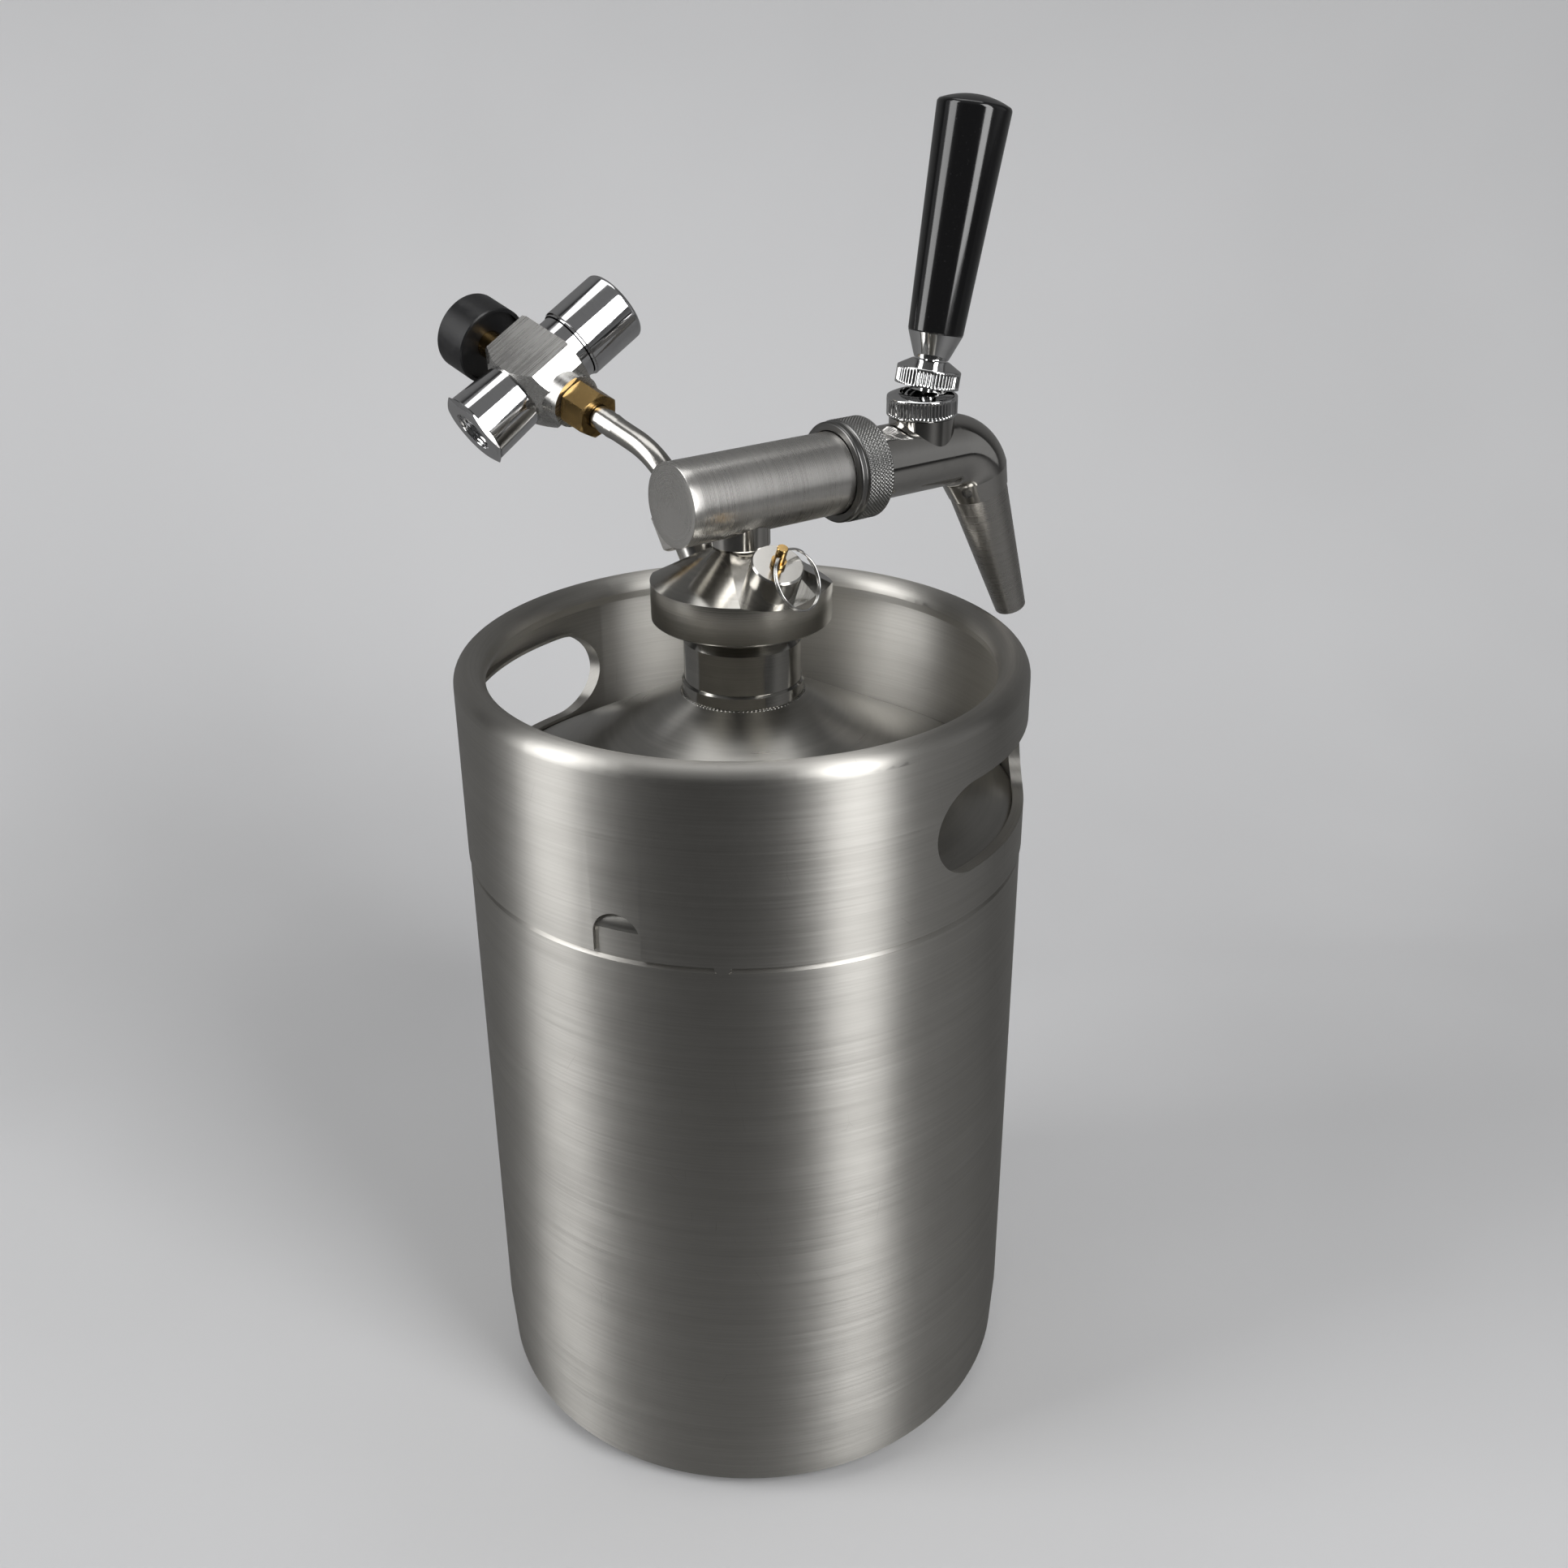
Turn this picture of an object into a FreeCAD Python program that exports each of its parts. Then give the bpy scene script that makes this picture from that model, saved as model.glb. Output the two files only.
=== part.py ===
import FreeCAD, Part
import math
import os

# Mini keg beer dispenser: a five litre keg with a hand-hold collar, a screw cap with a
# dispensing bar, a lever tap, a relief valve and a small gas regulator.
# Millimetres, +Z up, origin at the centre of the keg's base, the tap points to -Y.

V = FreeCAD.Vector
UP = V(0, 0, 1)

# Keg
keg_radius = 87.0
keg_wall = 1.0
keg_seam_height = 207.0
keg_step_height = 197.5
keg_step_depth = 0.9
base_corner = 10.35
base_inset = 1.0
base_inset_height = 27.0
base_ring_inner = 70.0
base_dish = 6.0

# Dome and neck
shoulder_radius = 5.0
dome_slope = 28.0
dome_bore = 16.5
neck_flange_radius = 18.7
neck_flange_height = 4.2
neck_radius = 17.96
neck_band_height = 263.5
neck_thread_radius = 16.3
neck_bore = 14.0
neck_top = 278.9

# Collar with its two hand holes and two drain notches
collar_wall = 1.2
collar_foot = 199.5
rim_top = 259.4
rim_roll = 4.8
hand_hole_height = 28.4
hand_hole_width = 82.0
hand_hole_centre = 227.8
hand_hole_azimuths = (31.1, 211.1)
hand_hole_lip = 1.1
notch_half_width = 7.4
notch_top = 212.8
notch_azimuths = (121.0, 301.0)
foot_nub_azimuth = 141.0
foot_nub_radius = 2.4

# Screw cap
cap_radius = 27.35
cap_bottom = 270.3
cap_edge = 282.2
cap_ceiling = 281.0
cap_top_radius = 9.2
cap_top = 292.5
cap_bevel = 0.5
thread_play = 0.4

# Stem, dip tube and dispensing bar
stem_radius = 8.85
spigot_radius = 6.0
spigot_bottom = 268.0
liquid_bore = 3.0
dip_tube_radius = 4.0
dip_tube_foot = 14.0
dip_tube_socket = 12.0
stem_nut_flats = 17.0
stem_nut_height = 4.5
bar_radius = 12.5
bar_height = 308.55
bar_socket_depth = 2.0
bar_closed_end = 23.8
bar_edge = 0.5

# Coupling nut between bar and tap
nut_rear = 33.6
nut_front = 46.2
nut_radius = 15.57
nut_bevel = 0.9
nut_lip = 3.6
nut_bore = 13.8
flange_radius = 13.5
bar_flange_length = 3.2
tail_seal_thickness = 1.4
tap_tail_front = 48.2

# Tap body
tap_radius = 11.2
tap_bore = 6.0
tap_throat = 4.4
bend_radius = 13.0
spout_lean = 21.4
spout_reach = 87.66
spout_drop = 15.86
spout_top_radius = 9.6
spout_tip_radius = 4.9
spout_length = 47.3
spout_bore = 3.6
spout_thread_radius = 7.0
spout_thread_length = 6.0
lever_reach = 68.9
boss_radius = 10.2
boss_top = 320.9
well_floor = 2.0
cavity_radius = 7.0
valve_seat_reach = 78.0
vent_radius = 1.7
vent_point = (-6.56, -82.67, 294.88)

# Lever, bonnet and handle; heights on the lever are measured from its pivot
pivot_height = 322.0
lever_tilt = 10.95
lever_travel = 20.0
ball_radius = 8.0
ball_play = 0.1
bonnet_radius = 11.0
bonnet_foot = 321.3
bonnet_edge = 327.2
bonnet_top = 328.4
bonnet_mouth = 6.95
lever_stem_radius = 2.4
lever_tail_length = 13.7
lever_tail_ball = 2.6
lock_radius = 9.95
lock_foot = 8.0
lock_edge = 13.4
lock_top = 15.9
lock_hollow = 12.45
ferrule_foot = 16.3
ferrule_neck_radius = 5.3
ferrule_waist = 17.3
ferrule_waist_radius = 5.75
ferrule_top = 24.1
ferrule_top_radius = 8.47
handle_foot_radius = 8.55
handle_shoulder = 89.0
handle_top_radius = 11.24
handle_dome = 2.3
handle_round = 1.5
handle_round_angle = 65
handle_socket = 16.0

# Shuttle valve in the tap
shuttle_radius = 5.7
shuttle_flat = 4.7
slot_relief = 2.2
shuttle_rear = 58.5
shuttle_front = 76.6
shuttle_seal = 1.4

# Relief valve on the cap
fitting_tilt = 29.6
relief_azimuth = 171.0
relief_seat_radius = 20.3
relief_flat = 1.4
relief_radius = 7.79
relief_height = 8.56
relief_spigot_radius = 5.0
relief_spigot = 4.0
passage_radius = 1.2
relief_chamber = 4.2
relief_roof = 1.8
relief_pin_radius = 1.65
relief_pin_top = 6.5
relief_collar_radius = 2.25
ring_hole_height = 3.9
ring_hole_radius = 1.1
ring_radius = 9.0
ring_wire = 0.6
ring_hole_azimuth = 303.3
ring_fall = 39.5

# Gas inlet on the cap
inlet_azimuth = 9.5
inlet_seat_radius = 18.6
inlet_flat = 2.2
spare_flat = 2.5
spare_azimuth = 258.0
stub_radius = 6.6
stub_root_radius = 5.1
stub_height = 9.0
gas_nut_flats = 18.0
gas_nut_foot = 4.7
gas_nut_length = 11.6
gas_nut_lip = 3.0
tube_radius = 3.7
tube_bore = 1.9
tube_bend = 45.0
tube_corner = 28.4
tube_tangent = 14.0
tube_shoulder_radius = 5.6
tube_shoulder = 3.8
barb_count = 3
barb_pitch = 2.9
barb_rise = 0.25

# Gas regulator; its parts are placed from the point where its two axes cross
regulator_reach = 62.9
regulator_turn = 33.0
body_round = 19.0
body_flat = 12.0
body_face = 16.5
body_corner = 16.76
body_inlet_end = -9.5
body_inlet_shoulder = -4.5
body_knob_shoulder = 8.5
body_knob_end = 10.0
body_inlet_neck = 12.4
body_knob_neck = 15.6
chamber_radius = 8.0
chamber_floor = -1.0
outlet_boss_radius = 8.6
outlet_boss = 20.5
brass_nut_flats = 13.4
brass_nut_rear = 20.8
brass_nut_front = 31.4
holder_root_radius = 11.0
holder_end_radius = 11.85
holder_end = -26.6
holder_collar = 1.5
holder_collar_flats = 22.6
holder_spigot_radius = 8.0
holder_spigot = 5.0
cartridge_bore = 6.9
cartridge_thread = 8.5
cartridge_pocket = 6.4
cartridge_depth = 13.0
piercing_reach = 4.0
piercing_radius = 1.25
bonnet_collar_radius = 11.2
bonnet_collar_end = 14.7
bonnet_collar_bore = 6.0
bonnet_collar_roof = 1.6
knob_radius = 12.1
knob_foot = 15.1
knob_end = 36.2
knob_round = 1.6
knob_groove = 0.5
screw_radius = 3.0
screw_depth = 10.0
screw_end = 0.9
plate_radius = 6.7
plate_position = 4.9
plate_thickness = 1.3
piston_thickness = 1.2
spring_outer = 5.8
spring_inner = 4.4
spring_length = 2.6

# Pressure gauge
gauge_stem_radius = 4.6
gauge_back = 23.0
gauge_front = 36.2
gauge_radius = 13.0
gauge_wall = 1.2
gauge_recess = 2.0
gauge_plate = 1.4
dial_position = 31.4
dial_thickness = 0.6
needle_length = 9.0
lens_thickness = 1.2

# Fits
seat_gap = 0.05
running_gap = 0.05
free_gap = 0.3


def tilted(tilt, azimuth):
    """Unit vector leaning by tilt degrees from +Z towards an azimuth in the XY plane."""
    lean = math.radians(tilt)
    turn = math.radians(azimuth)
    return V(math.sin(lean) * math.cos(turn), math.sin(lean) * math.sin(turn), math.cos(lean))


def turned(start, *steps):
    """Solid of revolution about +Z from (radius, height) corners; a pair of points is an arc."""
    edges = []
    here = start
    last = steps[-1][1] if isinstance(steps[-1][0], tuple) else steps[-1]
    closing = () if last == start else (start,)
    for step in steps + closing:
        if isinstance(step[0], tuple):
            through, end = step
            arc = Part.Arc(V(here[0], 0, here[1]), V(through[0], 0, through[1]), V(end[0], 0, end[1]))
            edges.append(arc.toShape())
        else:
            end = step
            edges.append(Part.LineSegment(V(here[0], 0, here[1]), V(end[0], 0, end[1])).toShape())
        here = end
    face = Part.Face(Part.Wire(edges))
    return face.revolve(V(0, 0, 0), UP, 360)


def arc_middle(centre, radius, angle):
    """Point on a circle in the profile plane at an angle in degrees."""
    turn = math.radians(angle)
    return (centre[0] + radius * math.cos(turn), centre[1] + radius * math.sin(turn))


def crown_middle(radius, rise, top):
    """Point halfway along the arc of a ball-shaped crown that falls by rise from its top to a radius."""
    ball = (radius ** 2 + rise ** 2) / (2 * rise)
    half = math.asin(radius / ball) / 2
    return (ball * math.sin(half), top - ball + ball * math.cos(half))


def rod(radius, foot, head):
    """Round rod between two points."""
    length = (head - foot).Length
    return Part.makeCylinder(radius, length, foot, head - foot)


def hexagon(flats, foot, head):
    """Upright hexagonal prism between two heights, with its corners turned off at 30 degrees."""
    corner = flats / math.sqrt(3)
    points = [V(corner * math.cos(math.radians(60 * i)), corner * math.sin(math.radians(60 * i)), foot)
              for i in range(7)]
    prism = Part.Face(Part.makePolygon(points)).extrude(V(0, 0, head - foot))
    slope = min(math.tan(math.radians(30)) * (corner - flats / 2), 0.4 * (head - foot))
    blank = turned((0, foot), (flats / 2, foot), (corner, foot + slope), (corner, head - slope),
                   (flats / 2, head), (0, head))
    return prism.common(blank)


def stand(shape, foot, direction, side=None):
    """Turn a shape built along +Z so that it stands at foot along direction, its +X towards side."""
    z = V(direction)
    z.normalize()
    hint = V(side) if side is not None else V(1, 0, 0)
    if abs(hint.dot(z)) > 0.99:
        hint = V(0, 1, 0)
    y = z.cross(hint)
    y.normalize()
    moved = shape.copy()
    place = FreeCAD.Placement(foot, FreeCAD.Rotation(y.cross(z), y, z, "ZXY"))
    moved.Placement = place.multiply(shape.Placement)
    return moved


def keg_line(inset):
    """Corners of the keg's wall line at a distance inside its outer face."""
    corner = base_corner - inset
    side = keg_radius - base_inset
    centre = (side - base_corner, base_corner)
    return {
        "dish": (0, base_dish + inset),
        "dish_arc": crown_middle(base_ring_inner, base_dish, base_dish + inset),
        "ring_inner": (base_ring_inner, inset),
        "ring_outer": (side - base_corner, inset),
        "corner_arc": arc_middle(centre, corner, -45),
        "corner_end": (side - inset, base_corner),
        "side_foot": (keg_radius - inset, base_inset_height),
        "side_head": (keg_radius - inset, keg_step_height),
        "step": (keg_radius - keg_step_depth - inset, keg_step_height + keg_step_depth),
        "seam": (keg_radius - keg_step_depth - inset, keg_seam_height),
    }


def keg_shell():
    """Drawn cylinder with a dished base that stands on a flat ring."""
    outer = keg_line(0)
    inner = keg_line(keg_wall)
    return turned(outer["dish"], (outer["dish_arc"], outer["ring_inner"]), outer["ring_outer"],
                  (outer["corner_arc"], outer["corner_end"]), outer["side_foot"], outer["side_head"],
                  outer["step"], outer["seam"], inner["seam"], inner["step"], inner["side_head"],
                  inner["side_foot"], inner["corner_end"], (inner["corner_arc"], inner["ring_outer"]),
                  inner["ring_inner"], (inner["dish_arc"], inner["dish"]))


def dome_height(radius):
    """Height of the dome's outer face at a radius."""
    slope = math.radians(dome_slope)
    side = keg_radius - keg_step_depth
    centre = (side - shoulder_radius, keg_seam_height + 1.0)
    tangent = (centre[0] + shoulder_radius * math.sin(slope), centre[1] + shoulder_radius * math.cos(slope))
    return tangent[1] + (tangent[0] - radius) * math.tan(slope)


def keg_dome():
    """Conical dome with a rounded shoulder that closes the keg up to its neck."""
    slope = 90 - dome_slope
    side = keg_radius - keg_step_depth
    centre = (side - shoulder_radius, keg_seam_height + 1.0)
    inner_radius = shoulder_radius - keg_wall
    drop = keg_wall / math.cos(math.radians(dome_slope))
    return turned((side, keg_seam_height), (side, centre[1]),
                  (arc_middle(centre, shoulder_radius, slope / 2),
                   arc_middle(centre, shoulder_radius, slope)),
                  (dome_bore, dome_height(dome_bore)), (dome_bore, dome_height(dome_bore) - drop),
                  arc_middle(centre, inner_radius, slope),
                  (arc_middle(centre, inner_radius, slope / 2), (side - keg_wall, centre[1])),
                  (side - keg_wall, keg_seam_height))


def keg_neck():
    """Machined neck: a flange on the dome, a plain band, a cone and the part that takes the cap."""
    tube = dome_bore - seat_gap
    foot = dome_height(neck_flange_radius)
    cone = 2.4
    return turned((neck_bore, foot - 4), (tube, foot - 4), (tube, dome_height(tube)),
                  (neck_flange_radius, foot), (neck_flange_radius, foot + neck_flange_height - 0.6),
                  (neck_flange_radius - 0.6, foot + neck_flange_height),
                  (neck_radius, foot + neck_flange_height), (neck_radius, neck_band_height),
                  (neck_thread_radius, neck_band_height + cone), (neck_thread_radius, neck_top - 0.6),
                  (neck_thread_radius - 0.6, neck_top), (neck_bore, neck_top))


def arch(width, bottom, top, depth, azimuth, round_both):
    """Cutter through the collar wall: a slot with one or two half-round ends, facing an azimuth."""
    if round_both:
        radius = (top - bottom) / 2
        half = width / 2 - radius
        wire = Part.Wire([
            Part.LineSegment(V(0, -half, bottom), V(0, half, bottom)).toShape(),
            Part.Arc(V(0, half, bottom), V(0, half + radius, bottom + radius), V(0, half, top)).toShape(),
            Part.LineSegment(V(0, half, top), V(0, -half, top)).toShape(),
            Part.Arc(V(0, -half, top), V(0, -half - radius, bottom + radius),
                     V(0, -half, bottom)).toShape()])
    else:
        radius = width / 2
        wire = Part.Wire([
            Part.LineSegment(V(0, -radius, bottom), V(0, radius, bottom)).toShape(),
            Part.LineSegment(V(0, radius, bottom), V(0, radius, top - radius)).toShape(),
            Part.Arc(V(0, radius, top - radius), V(0, 0, top), V(0, -radius, top - radius)).toShape(),
            Part.LineSegment(V(0, -radius, top - radius), V(0, -radius, bottom)).toShape()])
    cutter = Part.Face(wire).extrude(V(depth, 0, 0))
    cutter.translate(V(keg_radius - depth / 2, 0, 0))
    cutter.rotate(V(0, 0, 0), UP, azimuth)
    return cutter


def collar():
    """Rolled-rim collar with two hand holes that have turned-in lips, and two drain notches."""
    inner = keg_radius - keg_step_depth + seat_gap
    outer = inner + collar_wall
    roll_height = rim_top - rim_roll
    centre = (outer - rim_roll, roll_height)
    inner_roll = rim_roll - collar_wall
    wall = turned((inner, collar_foot), (outer, collar_foot), (outer, roll_height),
                  (arc_middle(centre, rim_roll, 90), arc_middle(centre, rim_roll, 180)),
                  arc_middle(centre, rim_roll, 215), arc_middle(centre, inner_roll, 215),
                  arc_middle(centre, inner_roll, 180),
                  (arc_middle(centre, inner_roll, 90), arc_middle(centre, inner_roll, 0)))
    nub = Part.makeSphere(foot_nub_radius, V(keg_radius, 0, collar_foot))
    inside = keg_radius + seat_gap
    shell = turned((inside, collar_foot - foot_nub_radius), (outer, collar_foot - foot_nub_radius),
                   (outer, collar_foot), (inside, collar_foot))
    nub = nub.common(shell)
    nub.rotate(V(0, 0, 0), UP, foot_nub_azimuth)
    wall = wall.fuse(nub)
    low = hand_hole_centre - hand_hole_height / 2
    high = hand_hole_centre + hand_hole_height / 2
    lip_shell = turned((inner - 2.2, low - 5), (inner + 0.2, low - 5), (inner + 0.2, high + 5),
                       (inner - 2.2, high + 5))
    for azimuth in hand_hole_azimuths:
        big = arch(hand_hole_width + 2 * hand_hole_lip, low - hand_hole_lip, high + hand_hole_lip,
                   30, azimuth, True)
        wall = wall.fuse(big.common(lip_shell))
    for azimuth in hand_hole_azimuths:
        wall = wall.cut(arch(hand_hole_width, low, high, 60, azimuth, True))
    for azimuth in notch_azimuths:
        wall = wall.cut(arch(2 * notch_half_width, collar_foot - 8, notch_top, 30, azimuth, False))
    return wall.removeSplitter()


def cone_seat(radius, azimuth):
    """Point on the cap's cone at a radius from the keg's axis."""
    turn = math.radians(azimuth)
    fall = (cap_top - cap_edge) / (cap_radius - cap_top_radius)
    return V(radius * math.cos(turn), radius * math.sin(turn), cap_edge + (cap_radius - radius) * fall)


relief_axis = tilted(fitting_tilt, relief_azimuth)
relief_seat = cone_seat(relief_seat_radius, relief_azimuth) - relief_axis * relief_flat
relief_face = relief_seat + relief_axis * (relief_height + relief_flat)
inlet_axis = tilted(fitting_tilt, inlet_azimuth)
inlet_seat = cone_seat(inlet_seat_radius, inlet_azimuth) - inlet_axis * inlet_flat
spare_axis = tilted(fitting_tilt, spare_azimuth)
spare_seat = cone_seat(relief_seat_radius, spare_azimuth) - spare_axis * spare_flat


def screw_cap():
    """Round cap with a conical top, three milled flats, two fitting sockets and a stem hole."""
    thread = neck_thread_radius + thread_play
    cap = turned((thread + 1, cap_bottom), (cap_radius - cap_bevel, cap_bottom),
                 (cap_radius, cap_bottom + cap_bevel), (cap_radius, cap_edge),
                 (cap_top_radius, cap_top), (spigot_radius + running_gap, cap_top),
                 (spigot_radius + running_gap, cap_ceiling), (thread, cap_ceiling),
                 (thread, cap_bottom + 1))
    for seat, axis in ((relief_seat, relief_axis), (inlet_seat, inlet_axis), (spare_seat, spare_axis)):
        slab = Part.makeBox(2 * cap_radius, 2 * cap_radius, cap_radius, V(-cap_radius, -cap_radius, 0))
        cap = cap.cut(stand(slab, seat, axis))
    drop = relief_spigot + seat_gap
    for radius, seat, axis in ((relief_spigot_radius, relief_seat, relief_axis),
                               (stub_root_radius, inlet_seat, inlet_axis)):
        cap = cap.cut(rod(radius + seat_gap, seat - axis * drop, seat + axis))
    for seat, axis, azimuth in ((relief_seat, relief_axis, relief_azimuth),
                                (inlet_seat, inlet_axis, inlet_azimuth)):
        inside = neck_bore - 2
        turn = math.radians(azimuth)
        outlet = V(inside * math.cos(turn), inside * math.sin(turn), cap_ceiling - 1)
        cap = cap.cut(rod(passage_radius, outlet, seat - axis * (relief_spigot - 0.5)))
    return cap


def neck_seal():
    """Flat ring between the neck's top and the cap."""
    return turned((neck_bore + 0.2, neck_top + 0.1), (neck_thread_radius, neck_top + 0.1),
                  (neck_thread_radius, cap_ceiling), (neck_bore + 0.2, cap_ceiling))


def bar_cutter(gap):
    """Rod along the bar's axis, larger than the bar by a gap."""
    return rod(bar_radius + gap, V(0, -60, bar_height), V(0, 60, bar_height))


def stem():
    """Polished stem: a collar on the cap, saddled to the bar, with a spigot through the cap."""
    bore_top = bar_height - bar_socket_depth
    collar_part = turned((0, cap_top), (stem_radius - 0.5, cap_top), (stem_radius, cap_top + 0.5),
                         (stem_radius, bar_height), (0, bar_height))
    collar_part = collar_part.cut(bar_cutter(seat_gap))
    spigot = rod(spigot_radius, V(0, 0, spigot_bottom), V(0, 0, bore_top))
    whole = collar_part.fuse(spigot)
    socket = rod(dip_tube_radius + seat_gap, V(0, 0, spigot_bottom - 1),
                 V(0, 0, spigot_bottom + dip_tube_socket))
    channel = rod(liquid_bore, V(0, 0, spigot_bottom), V(0, 0, bar_height))
    return whole.cut(socket).cut(channel).removeSplitter()


def stem_nut():
    """Hexagon nut under the cap that holds the stem."""
    nut = hexagon(stem_nut_flats, cap_ceiling - stem_nut_height, cap_ceiling)
    return nut.cut(rod(spigot_radius + running_gap, V(0, 0, spigot_bottom), V(0, 0, cap_top)))


def dip_tube():
    """Tube that draws from just above the keg's base."""
    top = spigot_bottom + dip_tube_socket - 0.1
    return turned((liquid_bore, dip_tube_foot), (dip_tube_radius, dip_tube_foot),
                  (dip_tube_radius, top), (liquid_bore, top))


def along_bar(shape, reach):
    """Lay a shape built on +Z along the bar towards the tap, starting a reach from the keg's axis."""
    return stand(shape, V(0, -reach, bar_height), V(0, -1, 0))


bar_front = nut_rear + nut_lip + free_gap + bar_flange_length
tail_seal_front = bar_front + 0.05 + tail_seal_thickness


def dispensing_bar():
    """Round bar closed at one end, with a flange at the tap end and a cross hole for the stem."""
    length = bar_closed_end + bar_front
    flange_foot = length - bar_flange_length
    bar = turned((0, 0), (bar_radius - bar_edge, 0), (bar_radius, bar_edge), (bar_radius, flange_foot),
                 (flange_radius, flange_foot), (flange_radius, length), (liquid_bore, length),
                 (liquid_bore, bar_closed_end - 4), (0, bar_closed_end - 4))
    bar = along_bar(bar, -bar_closed_end)
    socket = rod(spigot_radius + running_gap, V(0, 0, bar_height - 2 * bar_radius),
                 V(0, 0, bar_height - bar_socket_depth + seat_gap))
    return bar.cut(socket)


def coupling_nut():
    """Knurled nut whose rear lip pulls the bar's flange against the tap's tail."""
    length = nut_front - nut_rear
    groove = 1.9
    nut = turned((bar_radius + free_gap, 0), (nut_radius - nut_bevel, 0),
                 (nut_radius - 0.3, nut_bevel * 0.7),
                 (nut_radius - 0.3, groove), (nut_radius - 0.7, groove + 0.3), (nut_radius, groove + 0.7),
                 (nut_radius, length - nut_bevel), (nut_radius - nut_bevel, length), (nut_bore, length),
                 (nut_bore, nut_lip), (bar_radius + free_gap, nut_lip))
    return along_bar(nut, nut_rear)


def tail_seal():
    """Washer between the bar's flange and the tap's tail."""
    washer = turned((liquid_bore + 1, 0), (flange_radius - 1, 0), (flange_radius - 1, tail_seal_thickness),
                    (liquid_bore + 1, tail_seal_thickness))
    return along_bar(washer, bar_front + 0.03)


spout_axis = V(0, -math.sin(math.radians(spout_lean)), -math.cos(math.radians(spout_lean)))
elbow_point = V(0, -spout_reach, bar_height)
spout_seat = elbow_point + spout_axis * spout_drop
bend_angle = 90 - spout_lean
bend_tangent = bend_radius * math.tan(math.radians(bend_angle / 2))


def tap_body():
    """Tap body: threaded tail, barrel, bend to the spout, lever boss, shuttle bore and vent."""
    tail = turned((0, 0), (flange_radius, 0), (flange_radius, tap_tail_front - tail_seal_front - 1),
                  (tap_radius, tap_tail_front - tail_seal_front + 0.6), (tap_radius, 8), (0, 8))
    tail = along_bar(tail, tail_seal_front)
    bend_start = V(0, -spout_reach + bend_tangent, bar_height)
    barrel = rod(tap_radius, V(0, -tap_tail_front + 2, bar_height), bend_start)
    centre = bend_start - V(0, 0, bend_radius)
    ring = Part.Wire(Part.makeCircle(tap_radius, bend_start, V(0, 1, 0)))
    bend = Part.Face(ring).revolve(centre, V(1, 0, 0), bend_angle)
    taper_length = spout_drop - bend_tangent
    taper_foot = spout_seat - spout_axis * taper_length
    taper = Part.makeCone(tap_radius, spout_top_radius + 0.3, taper_length, taper_foot, spout_axis)
    boss = rod(boss_radius, V(0, -lever_reach, bar_height), V(0, -lever_reach, boss_top))
    body = barrel.fuse([tail, bend, taper, boss]).removeSplitter()
    bore = rod(tap_bore, V(0, -tail_seal_front + 1, bar_height), V(0, -valve_seat_reach, bar_height))
    throat = rod(tap_throat, V(0, -valve_seat_reach + 1, bar_height), elbow_point)
    drop = rod(tap_throat, elbow_point, spout_seat + spout_axis)
    elbow = Part.makeSphere(tap_throat, elbow_point)
    socket = rod(spout_thread_radius + thread_play, spout_seat - spout_axis * (spout_thread_length + 0.2),
                 spout_seat + spout_axis)
    well_foot = V(0, -lever_reach, bar_height + well_floor)
    well = rod(ball_radius + ball_play, well_foot, V(0, -lever_reach, boss_top + 1))
    cavity = rod(cavity_radius, V(0, -lever_reach, bar_height), V(0, -lever_reach, bar_height + tap_bore))
    body = body.cut([bore, throat, drop, elbow, socket, well, cavity])
    point = V(*vent_point)
    inward = V(0, spout_seat.y, spout_seat.z) - point
    inward.normalize()
    return body.cut(rod(vent_radius, point - inward * 4, point + inward * 2.6))


def spout():
    """Conical spout with a threaded top and a tapering wall."""
    rise = spout_thread_length
    wall_tip = 1.3
    shape = turned((spout_bore, rise), (spout_thread_radius, rise), (spout_thread_radius, 0.05),
                   (spout_top_radius, 0.05), (spout_tip_radius + 0.3, -spout_length),
                   (spout_tip_radius - 0.4, -spout_length - 0.4),
                   (spout_tip_radius - wall_tip, -spout_length))
    shape.translate(V(0, 0, -0.1))
    return stand(shape, spout_seat, spout_axis * -1)


def seat_ring():
    """Soft ring at the valve seat that the shuttle closes on."""
    ring = turned((spout_bore, 0), (tap_bore - seat_gap, 0), (tap_bore - seat_gap, 1.3), (spout_bore, 1.3))
    return along_bar(ring, valve_seat_reach - 1.3)


def shuttle():
    """Sliding valve with a slot for the lever's tail and a nose that closes the seat."""
    length = shuttle_front - shuttle_rear
    body = turned((0, 0), (shuttle_radius - 1, 0), (shuttle_radius, 1), (shuttle_radius, length - 5),
                  (shuttle_radius - 1.6, length - 3.5), (shuttle_radius - 1.6, length - shuttle_seal),
                  (0, length - shuttle_seal))
    body = along_bar(body, shuttle_rear)
    tail = V(0, -lever_reach + lever_tail_length * math.sin(math.radians(lever_tilt)), bar_height)
    width = 2 * (lever_tail_ball + free_gap)
    slot = Part.makeBox(width, width, 20, tail - V(width / 2, width / 2, 3.4))
    relief = Part.makeBox(width, width + slot_relief, 20,
                          tail - V(width / 2, width / 2 + slot_relief, -lever_tail_ball))
    body = body.cut(slot).cut(relief)
    for side in (-1, 1):
        middle = V(side * (shuttle_flat + 5), -shuttle_rear - length / 2, bar_height)
        body = body.cut(Part.makeBox(10, length + 2, 20, middle - V(5, length / 2 + 1, 10)))
    return body


def shuttle_disc():
    """Rubber disc on the shuttle's nose."""
    disc = turned((0, 0), (shuttle_radius - 0.9, 0), (shuttle_radius - 0.9, shuttle_seal - 0.1),
                  (0, shuttle_seal - 0.1))
    return along_bar(disc, shuttle_front - shuttle_seal)


pivot = V(0, -lever_reach, pivot_height)
lever_axis = tilted(lever_tilt, -90)


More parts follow.
